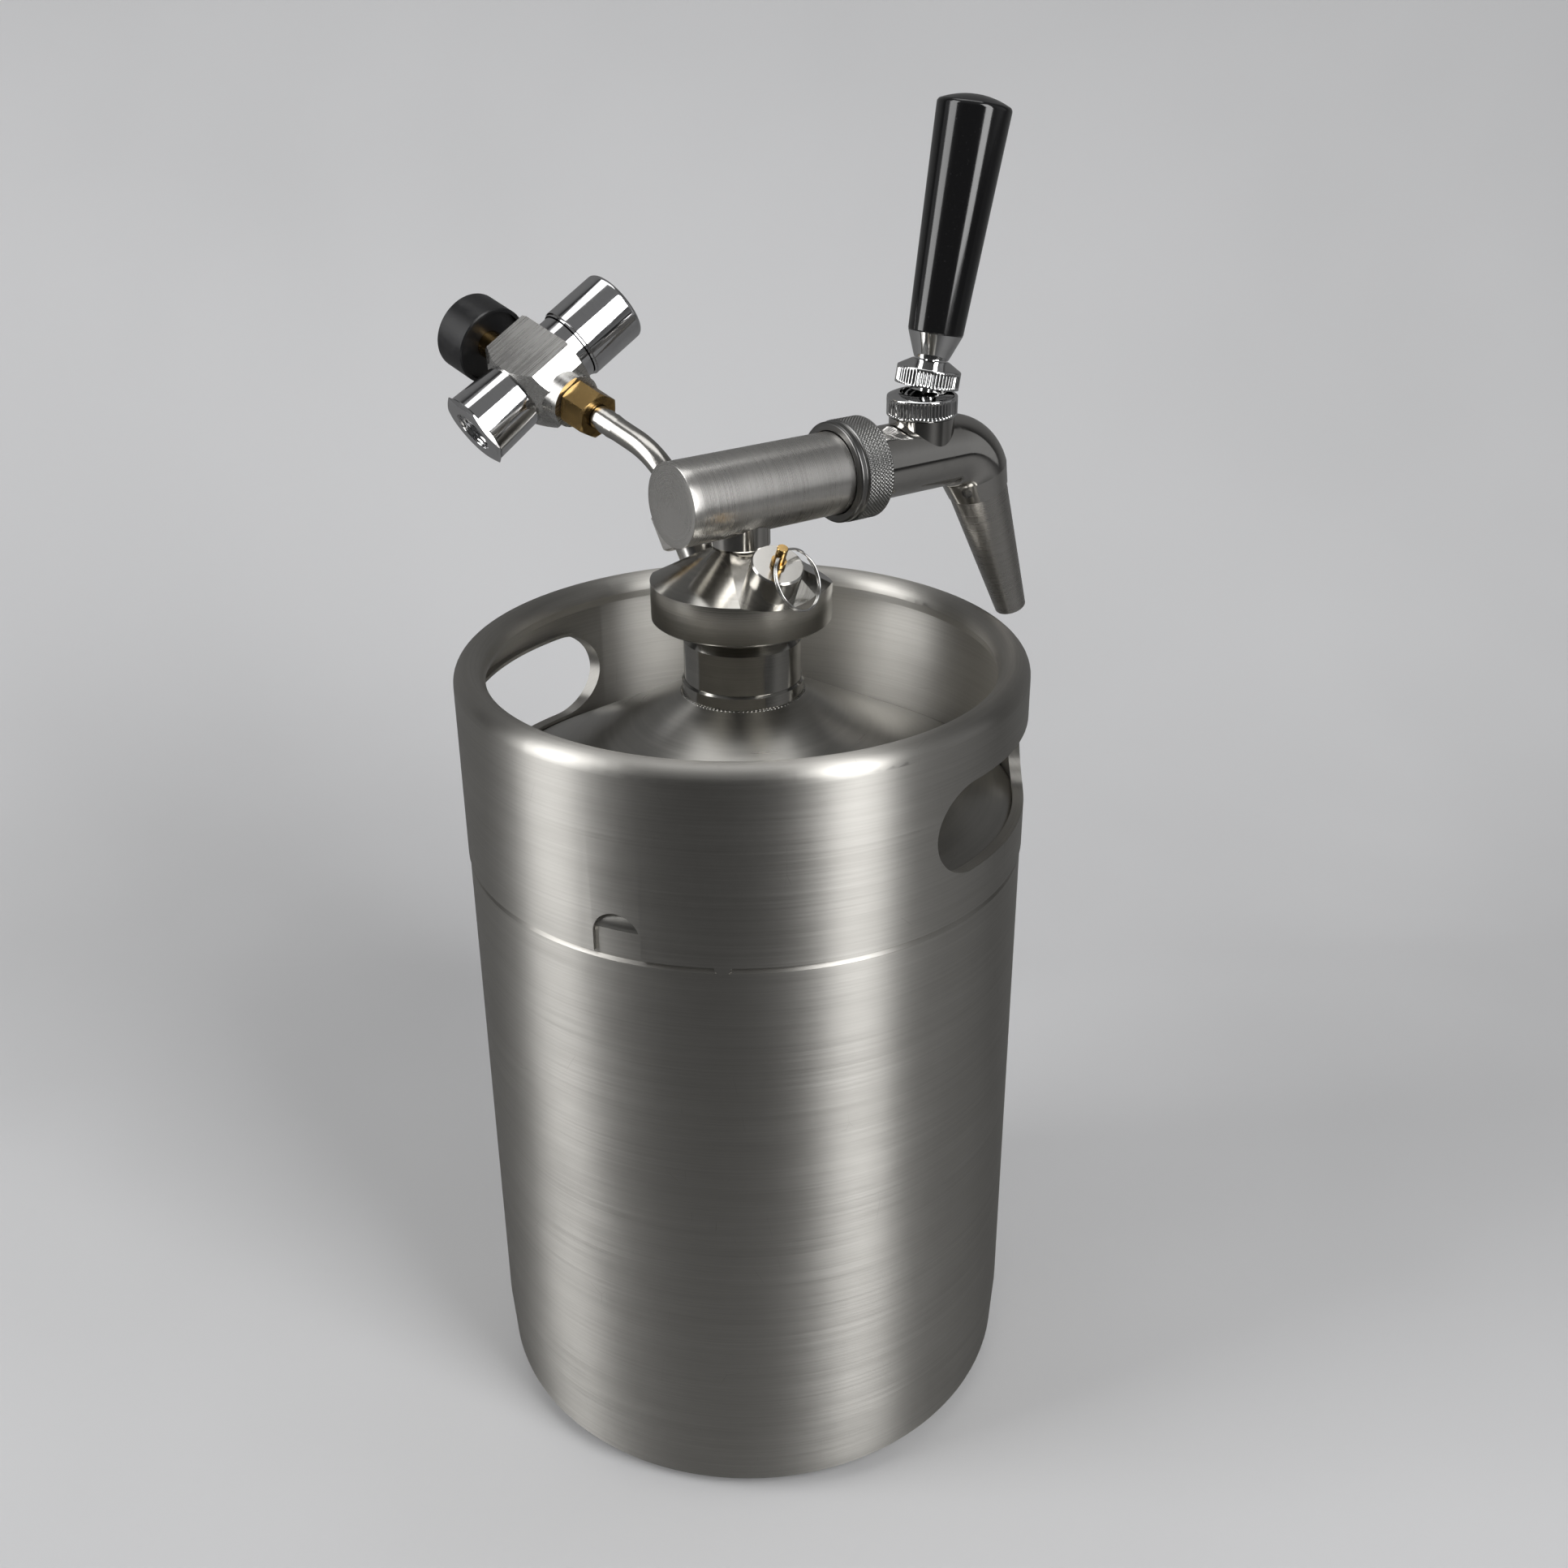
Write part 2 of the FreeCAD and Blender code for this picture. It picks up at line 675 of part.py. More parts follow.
def on_lever(shape):
    """Set a shape built on +Z from the pivot onto the leaning lever."""
    return stand(shape, pivot, lever_axis, V(1, 0, 0))


def bonnet_nut():
    """Knurled nut that holds the lever's ball in its boss and carries a spherical seat."""
    low = bonnet_foot - pivot_height
    edge = bonnet_edge - pivot_height
    top = bonnet_top - pivot_height
    seat = ball_radius + ball_play
    mouth_height = math.sqrt(seat ** 2 - bonnet_mouth ** 2)
    start = math.sqrt(seat ** 2 - low ** 2)
    half = (math.asin(low / seat) + math.asin(mouth_height / seat)) / 2
    middle = (seat * math.cos(half), seat * math.sin(half))
    shape = turned((start, low), (bonnet_radius - 0.4, low), (bonnet_radius, low + 0.5),
                   (bonnet_radius, edge - 0.4), (bonnet_radius - 0.4, edge), (bonnet_mouth + 1.2, top),
                   (bonnet_mouth, top), (bonnet_mouth, mouth_height), (middle, (start, low)))
    return stand(shape, pivot, UP)


def lever():
    """Steel lever: tail ball for the shuttle, pivot ball and threaded stem for the handle."""
    tail = rod(lever_tail_ball - 0.9, V(0, 0, -lever_tail_length), V(0, 0, 0))
    tail_ball = Part.makeSphere(lever_tail_ball, V(0, 0, -lever_tail_length))
    ball = Part.makeSphere(ball_radius, V(0, 0, 0))
    cut_low = Part.makeBox(40, 40, 20, V(-20, -20, -20 - 5.2))
    cut_high = Part.makeBox(40, 40, 20, V(-20, -20, 6.6))
    ball = ball.cut(cut_low).cut(cut_high)
    stem_part = rod(lever_stem_radius, V(0, 0, 0), V(0, 0, ferrule_top + 8))
    return on_lever(ball.fuse([tail, tail_ball, stem_part]))


def lock_collar():
    """Knurled collar on the lever, hollowed so that it clears the bonnet as the lever swings."""
    bore = lever_stem_radius + running_gap
    shape = turned((bore, lock_foot), (lock_radius - 0.3, lock_foot), (lock_radius, lock_foot + 0.3),
                   (lock_radius, lock_edge - 0.3), (lock_radius - 0.3, lock_edge),
                   (ferrule_neck_radius + 0.4, lock_top),
                   (bore, lock_top))
    shape = shape.cut(Part.makeSphere(lock_hollow, V(0, 0, 0)))
    return on_lever(shape)


def ferrule():
    """Polished ferrule: a short neck, then a cone that widens to the handle, and a spigot."""
    bore = lever_stem_radius + running_gap
    spigot_top = ferrule_top + 10
    return on_lever(turned((bore, ferrule_foot), (ferrule_neck_radius, ferrule_foot),
                           (ferrule_waist_radius, ferrule_waist), (ferrule_top_radius, ferrule_top),
                           (4.2, ferrule_top), (4.2, spigot_top), (bore, spigot_top)))


def handle():
    """Round handle that widens upwards to a domed end, with a socket for the ferrule."""
    foot = ferrule_top + 0.05
    corner = (handle_top_radius - handle_round, handle_shoulder)
    edge = arc_middle(corner, handle_round, handle_round_angle)
    crown = edge[1] + handle_dome
    shape = turned((4.25, foot), (handle_foot_radius - 0.2, foot), (handle_foot_radius, foot + 0.3),
                   (handle_top_radius, handle_shoulder),
                   (arc_middle(corner, handle_round, handle_round_angle / 2), edge),
                   (crown_middle(edge[0], handle_dome, crown), (0, crown)),
                   (0, foot + handle_socket), (4.25, foot + handle_socket))
    return on_lever(shape)


def relief_body():
    """Round boss of the relief valve with its chamber, pin hole and spigot in the cap."""
    top = relief_height + relief_flat
    shape = turned((relief_chamber, -relief_spigot), (relief_spigot_radius, -relief_spigot),
                   (relief_spigot_radius, 0), (relief_radius, 0), (relief_radius, top - 0.5),
                   (relief_radius - 0.5, top), (relief_pin_radius + free_gap, top),
                   (relief_pin_radius + free_gap, top - relief_roof), (relief_chamber, top - relief_roof))
    return stand(shape, relief_seat, relief_axis)


def ring_direction():
    """Direction of the pin's cross hole, square to the pin."""
    across = tilted(90, ring_hole_azimuth)
    across = across - relief_axis * across.dot(relief_axis)
    across.normalize()
    return across


def relief_pin():
    """Brass pull pin with a collar, a cross hole for the ring and a foot under the roof."""
    top = relief_height + relief_flat
    foot = top - relief_roof - 4.4
    shape = turned((0, -1.2), (relief_pin_radius, -1.2), (relief_pin_radius, top + 0.25),
                   (relief_collar_radius, top + 0.25), (relief_collar_radius, top + 1.6),
                   (relief_pin_radius, top + 1.6), (relief_pin_radius, top + relief_pin_top - 0.2),
                   (relief_pin_radius - 0.2, top + relief_pin_top), (0, top + relief_pin_top))
    shape = stand(shape, relief_seat, relief_axis)
    hole = relief_face + relief_axis * ring_hole_height
    across = ring_direction()
    return shape.cut(rod(ring_hole_radius, hole - across * 5, hole + across * 5))


def relief_disc():
    """Sealing disc at the foot of the pin."""
    disc = rod(relief_chamber - free_gap, V(0, 0, -3.6), V(0, 0, -1.3))
    return stand(disc, relief_seat, relief_axis)


def relief_spring():
    """Spring of the relief valve as the sleeve that it fills, standing on the disc."""
    shape = turned((relief_pin_radius + 0.6, -1.2), (relief_chamber - free_gap, -1.2),
                   (relief_chamber - free_gap, 4.2), (relief_pin_radius + 0.6, 4.2))
    return stand(shape, relief_seat, relief_axis)


def pull_ring():
    """Split ring that hangs from the pin's cross hole and rests against the boss."""
    across = ring_direction()
    hole = relief_face + relief_axis * ring_hole_height
    outward = across.cross(relief_axis)
    fall = math.radians(ring_fall)
    down = outward * math.cos(fall) - relief_axis * math.sin(fall)
    normal = across.cross(down)
    half = ring_wire * 0.6
    band = turned((ring_radius - half, -ring_wire), (ring_radius + half, -ring_wire),
                  (ring_radius + half, ring_wire), (ring_radius - half, ring_wire))
    return stand(band, hole + down * ring_radius, normal)


def gas_stub():
    """Threaded gas inlet stub screwed into the cap."""
    bore = tube_bore
    root = stub_root_radius
    shape = turned((bore, -relief_spigot), (root, -relief_spigot), (root, 0), (stub_radius, 0),
                   (stub_radius, stub_height - 0.5), (stub_radius - 0.5, stub_height), (bore, stub_height))
    return stand(shape, inlet_seat, inlet_axis)


def gas_nut():
    """Swivel nut that clamps the bent tube to the gas inlet."""
    top = gas_nut_foot + gas_nut_length
    nut = hexagon(gas_nut_flats, gas_nut_foot, top)
    wide = stub_radius + thread_play
    narrow = tube_radius + free_gap
    inside = turned((0, gas_nut_foot - 1), (wide, gas_nut_foot - 1), (wide, top - gas_nut_lip),
                    (narrow, top - gas_nut_lip), (narrow, top + 1), (0, top + 1))
    return stand(nut.cut(inside), inlet_seat, inlet_axis, tilted(90, inlet_azimuth + 60))


regulator_axis = tilted(fitting_tilt + tube_bend, inlet_azimuth)
tube_corner_point = inlet_seat + inlet_axis * (tube_corner + inlet_flat)
regulator_centre = tube_corner_point + regulator_axis * regulator_reach
level = tilted(90, inlet_azimuth - 90)
lift = regulator_axis.cross(level) * -1
knob_axis = level * math.cos(math.radians(regulator_turn)) + lift * math.sin(math.radians(regulator_turn))


def on_regulator(shape, turned_to_knob=False):
    """Place a shape from the regulator's own frame: +Z to the gauge, or along the knob's axis."""
    if turned_to_knob:
        return stand(shape, regulator_centre, knob_axis, regulator_axis)
    return stand(shape, regulator_centre, regulator_axis, knob_axis)


def gas_tube():
    """Bent tube from the gas inlet to the regulator, with sealing shoulders and barbs."""
    tangent = tube_tangent
    bend = tangent / math.tan(math.radians(tube_bend / 2))
    start = inlet_seat + inlet_axis * (stub_height + 0.1)
    lower = tube_corner_point - inlet_axis * tangent
    upper = tube_corner_point + regulator_axis * tangent
    end = regulator_centre - regulator_axis * (outlet_boss + 0.1)
    side = inlet_axis.cross(regulator_axis)
    side.normalize()
    centre = lower + side.cross(inlet_axis) * bend
    pieces = []
    hollows = []
    for radius, target in ((tube_radius, pieces), (tube_bore, hollows)):
        disc = Part.Face(Part.Wire(Part.makeCircle(radius, lower, inlet_axis)))
        target.append(rod(radius, start, lower))
        target.append(disc.revolve(centre, side, tube_bend))
        target.append(rod(radius, upper, end))
    shoulder_low = rod(tube_shoulder_radius, start, start + inlet_axis * tube_shoulder)
    shoulder_high = rod(tube_shoulder_radius, end - regulator_axis * tube_shoulder, end)
    outside = pieces[0].fuse(pieces[1:] + [shoulder_low, shoulder_high])
    first = brass_nut_front + 1.0
    for i in range(barb_count):
        wide = regulator_centre - regulator_axis * (first + i * barb_pitch)
        outside = outside.fuse(Part.makeCone(tube_radius + barb_rise, tube_radius + 0.02, barb_pitch, wide,
                                             regulator_axis * -1))
    inside = hollows[0].fuse(hollows[1:])
    return outside.removeSplitter().cut(inside)


def brass_nut():
    """Brass nut that clamps the tube to the regulator's outlet."""
    nut = hexagon(brass_nut_flats, -brass_nut_front, -brass_nut_rear)
    roof = -brass_nut_front + 3
    wide = tube_shoulder_radius + free_gap
    narrow = tube_radius + free_gap
    inside = turned((0, -brass_nut_front - 1), (narrow, -brass_nut_front - 1), (narrow, roof), (wide, roof),
                    (wide, -brass_nut_rear + 1), (0, -brass_nut_rear + 1))
    return on_regulator(nut.cut(inside))


def regulator_body():
    """Regulator body: turned about the knob's axis, then milled with wide and narrow flats."""
    shape = turned((0, body_inlet_end), (body_inlet_neck, body_inlet_end),
                   (body_round, body_inlet_shoulder),
                   (body_round, body_knob_shoulder), (body_knob_neck, body_knob_end), (0, body_knob_end))
    shape = on_regulator(shape, True)
    across = regulator_axis.cross(knob_axis)
    for turn, distance in ((0, body_face), (45, body_corner), (90, body_flat), (135, body_corner)):
        for flip in (1, -1):
            angle = math.radians(turn)
            normal = (regulator_axis * math.cos(angle) + across * math.sin(angle)) * flip
            size = 3 * body_round
            slab = Part.makeBox(size, size, body_round, V(-size / 2, -size / 2, distance))
            shape = shape.cut(stand(slab, regulator_centre, normal, knob_axis))
    boss = rod(outlet_boss_radius, regulator_centre, regulator_centre - regulator_axis * outlet_boss)
    shape = shape.fuse(boss).removeSplitter()
    knob_side = rod(chamber_radius, regulator_centre + knob_axis * chamber_floor,
                    regulator_centre + knob_axis * (body_knob_end + 1))
    holder_side = rod(holder_spigot_radius + seat_gap, regulator_centre + knob_axis * (body_inlet_end - 1),
                      regulator_centre + knob_axis * (body_inlet_end + holder_spigot + 0.1))
    passage = rod(1.6, regulator_centre - knob_axis * 6, regulator_centre)
    outlet = rod(1.6, regulator_centre - knob_axis * 2.5,
                 regulator_centre - knob_axis * 2.5 - regulator_axis * (outlet_boss + 2))
    port = rod(gauge_stem_radius - 1.2, regulator_centre + regulator_axis * 11,
               regulator_centre + regulator_axis * (body_face + 1))
    return shape.cut([knob_side, holder_side, passage, outlet, port])


def cartridge_holder():
    """Chromed arm with a faceted collar and a threaded socket for a gas cartridge."""
    root = body_inlet_end - 0.05
    mouth = holder_end - holder_collar
    shape = turned((0, root + holder_spigot), (holder_spigot_radius, root + holder_spigot),
                   (holder_spigot_radius, root), (holder_root_radius, root),
                   (holder_end_radius, holder_end),
                   (0, holder_end))
    collar_part = hexagon(holder_collar_flats, mouth, holder_end)
    shape = shape.fuse(collar_part)
    socket = rod(cartridge_bore, V(0, 0, mouth - 1), V(0, 0, mouth + cartridge_thread))
    pocket = rod(cartridge_pocket, V(0, 0, mouth), V(0, 0, mouth + cartridge_depth))
    passage = rod(piercing_radius + seat_gap, V(0, 0, mouth), V(0, 0, 0))
    return on_regulator(shape.cut([socket, pocket, passage]).removeSplitter(), True)


def cartridge_seal():
    """Rubber washer at the bottom of the cartridge socket."""
    floor = holder_end - holder_collar + cartridge_depth
    edge = cartridge_pocket - 0.1
    shape = turned((1.5, floor - 1.5), (edge, floor - 1.5), (edge, floor), (1.5, floor))
    return on_regulator(shape, True)


def piercing_pin():
    """Hollow pin that opens the cartridge."""
    floor = holder_end - holder_collar + cartridge_depth
    root = body_inlet_end + holder_spigot
    shape = turned((0, floor - piercing_reach), (piercing_radius, floor - 2), (piercing_radius, root),
                   (0, root))
    return on_regulator(shape, True)


def regulator_piston():
    """Piston that balances gas pressure against the spring."""
    foot = V(0, 0, chamber_floor + 0.1)
    return on_regulator(rod(chamber_radius - running_gap, foot, foot + UP * piston_thickness), True)


def regulator_spring():
    """Main spring of the regulator as the sleeve that it fills, standing on the piston."""
    foot = chamber_floor + 0.2 + piston_thickness
    shape = turned((spring_inner, foot), (spring_outer, foot), (spring_outer, foot + spring_length),
                   (spring_inner, foot + spring_length))
    return on_regulator(shape, True)


def spring_plate():
    """Plate on the adjusting screw that presses the spring."""
    bore = screw_radius + running_gap
    top = plate_position + plate_thickness
    shape = turned((bore, plate_position), (plate_radius, plate_position), (plate_radius, top), (bore, top))
    return on_regulator(shape, True)


def regulator_collar():
    """Polished collar that closes the spring chamber and carries the adjusting screw."""
    foot = body_knob_end
    guide = bonnet_collar_bore
    rim = chamber_radius - seat_gap
    shape = turned((guide, foot - 2), (rim, foot - 2), (rim, foot + 0.02),
                   (bonnet_collar_radius, foot + 0.02), (bonnet_collar_radius, bonnet_collar_end),
                   (screw_radius + running_gap, bonnet_collar_end),
                   (screw_radius + running_gap, bonnet_collar_end - bonnet_collar_roof),
                   (guide, bonnet_collar_end - bonnet_collar_roof))
    return on_regulator(shape, True)


def adjusting_screw():
    """Screw that turns with the knob and moves the spring plate."""
    return on_regulator(rod(screw_radius, V(0, 0, screw_end), V(0, 0, knob_foot + screw_depth)), True)


def regulator_knob():
    """Chromed knob with a groove at its foot and a rounded rim."""
    bore = screw_radius + seat_gap
    corner = (knob_radius - knob_round, knob_end - knob_round)
    foot_radius = knob_radius - knob_groove
    shape = turned((bore, knob_foot), (foot_radius, knob_foot), (foot_radius, knob_foot + 0.6),
                   (knob_radius, knob_foot + 0.9), (knob_radius, corner[1]),
                   (arc_middle(corner, knob_round, 45), (corner[0], knob_end)), (0, knob_end),
                   (0, knob_foot + screw_depth + 0.1), (bore, knob_foot + screw_depth + 0.1))
    return on_regulator(shape, True)


def gauge_stem():
    """Short threaded stem that carries the gauge on the regulator."""
    top = gauge_back + gauge_recess
    root = gauge_stem_radius - 1.25
    seat = body_face + seat_gap
    shape = turned((1.5, 11.1), (root, 11.1), (root, seat), (gauge_stem_radius, seat),
                   (gauge_stem_radius, top), (1.5, top))
    return on_regulator(shape)


def gauge_case():
    """Gauge case: a cup with a raised rim round its recessed back."""
    inner = gauge_radius - gauge_wall
    floor = gauge_back + gauge_recess + 0.05
    shape = turned((0, floor), (inner, floor), (inner, gauge_back), (gauge_radius - 0.4, gauge_back),
                   (gauge_radius, gauge_back + 0.4), (gauge_radius, gauge_front - 0.6),
                   (gauge_radius - 0.6, gauge_front), (inner - 0.6, gauge_front),
                   (inner - 0.6, gauge_front - 0.6), (inner, gauge_front - 0.6),
                   (inner, floor + gauge_plate),
                   (0, floor + gauge_plate))
    return on_regulator(shape)


def gauge_dial():
    """Dial plate on its pillar inside the gauge."""
    floor = gauge_back + gauge_recess + gauge_plate + 0.1
    inner = gauge_radius - gauge_wall - seat_gap
    shape = turned((0, floor), (4, floor), (4, dial_position), (inner, dial_position),
                   (inner, dial_position + dial_thickness), (0, dial_position + dial_thickness))
    return on_regulator(shape)


def gauge_needle():
    """Tapered needle with a round hub, lying on its zero stop."""
    foot = dial_position + dial_thickness + 0.2
    hub = turned((0, foot), (1.4, foot), (1.4, foot + 0.8), (0, foot + 0.8))
    blade = Part.makePolygon([V(-0.6, -3, foot), V(0.6, -3, foot), V(0.25, needle_length, foot),
                              V(-0.25, needle_length, foot), V(-0.6, -3, foot)])
    blade = Part.Face(blade).extrude(V(0, 0, 0.4))
    shape = hub.fuse(blade)
    shape.rotate(V(0, 0, 0), UP, 135)
    return on_regulator(shape)


def gauge_lens():
    """Clear lens under the case's lip."""
    inner = gauge_radius - gauge_wall - seat_gap
    top = gauge_front - 0.65
    shape = turned((0, top - lens_thickness), (inner, top - lens_thickness), (inner, top), (0, top))
    return on_regulator(shape)


PARTS = {
    "keg_shell": keg_shell,
    "keg_dome": keg_dome,
    "keg_neck": keg_neck,
    "collar": collar,
    "screw_cap": screw_cap,
    "neck_seal": neck_seal,
    "stem": stem,
    "stem_nut": stem_nut,
    "dip_tube": dip_tube,
    "dispensing_bar": dispensing_bar,
    "coupling_nut": coupling_nut,
    "tail_seal": tail_seal,
    "tap_body": tap_body,
    "spout": spout,
    "seat_ring": seat_ring,
    "shuttle": shuttle,
    "shuttle_disc": shuttle_disc,
    "bonnet_nut": bonnet_nut,
    "lever": lever,
    "lock_collar": lock_collar,
    "ferrule": ferrule,
    "handle": handle,
    "relief_body": relief_body,
    "relief_pin": relief_pin,
    "relief_disc": relief_disc,
    "relief_spring": relief_spring,
    "pull_ring": pull_ring,
    "gas_stub": gas_stub,
    "gas_nut": gas_nut,
    "gas_tube": gas_tube,
    "brass_nut": brass_nut,
    "regulator_body": regulator_body,
    "cartridge_holder": cartridge_holder,
    "cartridge_seal": cartridge_seal,
    "piercing_pin": piercing_pin,
    "regulator_piston": regulator_piston,
    "regulator_spring": regulator_spring,
    "spring_plate": spring_plate,
    "regulator_collar": regulator_collar,
    "adjusting_screw": adjusting_screw,
    "regulator_knob": regulator_knob,
    "gauge_stem": gauge_stem,
    "gauge_case": gauge_case,
    "gauge_dial": gauge_dial,
    "gauge_needle": gauge_needle,
    "gauge_lens": gauge_lens,
}

os.makedirs("parts", exist_ok=True)
for name, build in PARTS.items():
    build().exportStep("parts/" + name + ".step")
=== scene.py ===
import bmesh
import bpy
import math
import numpy as np
from mathutils import Matrix, Vector


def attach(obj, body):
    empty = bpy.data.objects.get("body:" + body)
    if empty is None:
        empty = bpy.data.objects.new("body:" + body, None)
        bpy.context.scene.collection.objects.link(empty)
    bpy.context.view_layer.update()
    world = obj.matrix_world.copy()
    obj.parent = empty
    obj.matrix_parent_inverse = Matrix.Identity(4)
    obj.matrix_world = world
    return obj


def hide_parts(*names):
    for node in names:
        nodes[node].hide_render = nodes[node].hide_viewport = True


# Mini keg beer dispenser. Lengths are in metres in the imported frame: +Z up, the tap points to -Y.
# Profiles and places of the new pieces are written in millimetres and scaled once by MM.

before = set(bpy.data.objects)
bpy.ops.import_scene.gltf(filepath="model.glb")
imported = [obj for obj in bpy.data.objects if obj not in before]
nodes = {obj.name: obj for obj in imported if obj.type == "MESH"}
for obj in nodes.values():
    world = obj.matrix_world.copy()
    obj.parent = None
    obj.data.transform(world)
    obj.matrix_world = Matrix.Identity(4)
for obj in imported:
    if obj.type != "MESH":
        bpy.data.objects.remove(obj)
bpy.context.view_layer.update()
MM = 0.001

# Places and sizes shared with the model
bar_height = 308.55
bar_radius = 12.5
bar_closed_end = 23.8
bar_front = 40.7
bar_flange_radius = 13.5
bar_flange = 3.2
bar_bore = 3.0
bar_bore_depth = 20.0
nut_rear = 33.6
nut_length = 12.6
nut_radius = 15.57
nut_bore = 12.8
nut_flange_bore = 13.8
nut_flange_floor = 3.6
pivot = (0.0, -68.9, 322.0)
lever_tilt = 10.95
spout_lean = 21.4
spout_seat = (0.0, -93.447, 293.783)
bonnet_radius = 11.0
bonnet_ball_seat = 8.1
lock_radius = 9.95
lock_foot = 8.0
lock_top = 15.9
lock_bore = 2.45
lock_roof = 12.2
lock_ball_seat = 12.45
fitting_tilt = 29.6
relief_azimuth = 171.0
relief_face = (-24.226, 3.837, 293.644)
relief_height = 9.96
ring_hole_height = 3.9
ring_azimuth = 303.3
ring_fall = 39.5
ring_radius = 9.0
ring_wire = 0.31
inlet_azimuth = 9.5
inlet_seat = (17.273, 2.890, 285.253)
tube_bend = 45.0
regulator_centre = (91.990, 15.394, 328.563)
regulator_turn = 33.0
dial_front = 32.0
dial_start = 225.0
dial_sweep = 270.0
dial_ticks = 40
dial_numbers = 4

# View direction of the photo, from the object to the camera
camera_azimuth = 145.6


def lean(tilt, azimuth):
    """Unit vector that leans by tilt degrees from +Z towards an azimuth."""
    a, b = math.radians(tilt), math.radians(azimuth)
    return Vector((math.sin(a) * math.cos(b), math.sin(a) * math.sin(b), math.cos(a)))


def place(origin, axis, side=(1, 0, 0)):
    """4x4 matrix of a frame with its origin in millimetres, +Z along axis and +X near side."""
    z = Vector(axis).normalized()
    hint = Vector(side)
    if abs(hint.normalized().dot(z)) > 0.99:
        hint = Vector((0, 1, 0))
    y = z.cross(hint).normalized()
    x = y.cross(z)
    matrix = Matrix((x, y, z)).transposed().to_4x4()
    matrix.translation = Vector(origin) * MM
    return matrix


relief_axis = lean(fitting_tilt, relief_azimuth)
inlet_axis = lean(fitting_tilt, inlet_azimuth)
gauge_axis = lean(fitting_tilt + tube_bend, inlet_azimuth)
level = lean(90, inlet_azimuth - 90)
lift = level.cross(gauge_axis)
knob_turn = math.radians(regulator_turn)
knob_axis = level * math.cos(knob_turn) + lift * math.sin(knob_turn)
spout_axis = lean(180 - spout_lean, -90)
lever_axis = lean(lever_tilt, -90)

KEG = place((0, 0, 0), (0, 0, 1))
BAR = place((0, bar_closed_end, bar_height), (0, -1, 0))
SPOUT = place(spout_seat, -spout_axis)
BONNET = place(pivot, (0, 0, 1))
LEVER = place(pivot, lever_axis)
RELIEF = place(relief_face, relief_axis)
INLET = place(inlet_seat, inlet_axis)
GAUGE = place(regulator_centre, gauge_axis, knob_axis)
KNOB = place(regulator_centre, knob_axis, gauge_axis)


# Shader maths

class Field:
    """A number that varies over a surface; arithmetic on it adds the Math nodes."""

    def __init__(self, recipe, socket):
        self.recipe = recipe
        self.socket = socket

    def _math(self, operation, first, second=0.0):
        return self.recipe.add("ShaderNodeMath", {"operation": operation}, {0: first, 1: second})

    def __add__(self, other):
        return self._math("ADD", self, other)

    def __sub__(self, other):
        return self._math("SUBTRACT", self, other)

    def __rsub__(self, other):
        return self._math("SUBTRACT", other, self)

    def __mul__(self, other):
        return self._math("MULTIPLY", self, other)

    def root(self):
        return self._math("SQRT", self)

    def between(self, low, high):
        """Smooth step from 0 at low to 1 at high."""
        settings = {"interpolation_type": "SMOOTHSTEP"}
        values = {"Value": self, "From Min": low, "From Max": high}
        return self.recipe.add("ShaderNodeMapRange", settings, values)


class Recipe:
    """One material or world under construction."""

    def __init__(self, owner):
        owner.use_nodes = True
        self.tree = owner.node_tree
        self.tree.nodes.clear()

    def node(self, kind, settings=None, values=None):
        """Adds a node: its settings first, then the values or links of its sockets."""
        made = self.tree.nodes.new(kind)
        for name, value in (settings or {}).items():
            setattr(made, name, value)
        for name, value in (values or {}).items():
            if isinstance(value, Field):
                self.tree.links.new(value.socket, made.inputs[name])
            elif value is not None:
                made.inputs[name].default_value = value
        return made

    def add(self, kind, settings=None, values=None, output=0):
        """Adds a node and returns one of its outputs."""
        return Field(self, self.node(kind, settings, values).outputs[output])

    def local(self, frame_matrix):
        """Object coordinates seen from a piece's own frame."""
        coords = self.add("ShaderNodeTexCoord", output="Object")
        turn = frame_matrix.to_euler()
        values = {"Vector": coords, "Location": frame_matrix.translation, "Rotation": turn}
        return self.add("ShaderNodeMapping", {"vector_type": "TEXTURE"}, values)

    def split(self, vector):
        parts = self.node("ShaderNodeSeparateXYZ", values={0: vector})
        return [Field(self, output) for output in parts.outputs]

    def join(self, x, y, z):
        return self.add("ShaderNodeCombineXYZ", values={0: x, 1: y, 2: z})

    def stretched(self, vector, across, over, up):
        """Vector with each of its parts multiplied by its own factor."""
        x, y, z = self.split(vector)
        return self.join(x * across, y * over, z * up)

    def noise(self, vector, scale, detail=2.0, roughness=0.5, distortion=0.0):
        values = {"Vector": vector, "Scale": scale, "Detail": detail, "Roughness": roughness,
                  "Distortion": distortion}
        return self.add("ShaderNodeTexNoise", values=values)

    def mix(self, factor, first, second):
        """Colour between two colours."""
        settings = {"data_type": "RGBA"}
        made = self.node("ShaderNodeMix", settings, {0: factor, 6: first, 7: second})
        return Field(self, made.outputs[2])

    def bump(self, height, strength, distance, normal=None):
        values = {"Height": height, "Strength": strength, "Distance": distance, "Normal": normal}
        return self.add("ShaderNodeBump", values=values)

    def surface(self, values):
        """Principled surface from constants and fields by socket name."""
        shader = self.node("ShaderNodeBsdfPrincipled", values=values)
        out = self.node("ShaderNodeOutputMaterial")
        self.tree.links.new(shader.outputs[0], out.inputs["Surface"])


def material(name):
    made = bpy.data.materials.new(name)
    return made, Recipe(made)


def rgb(red, green, blue):
    return (red, green, blue, 1.0)


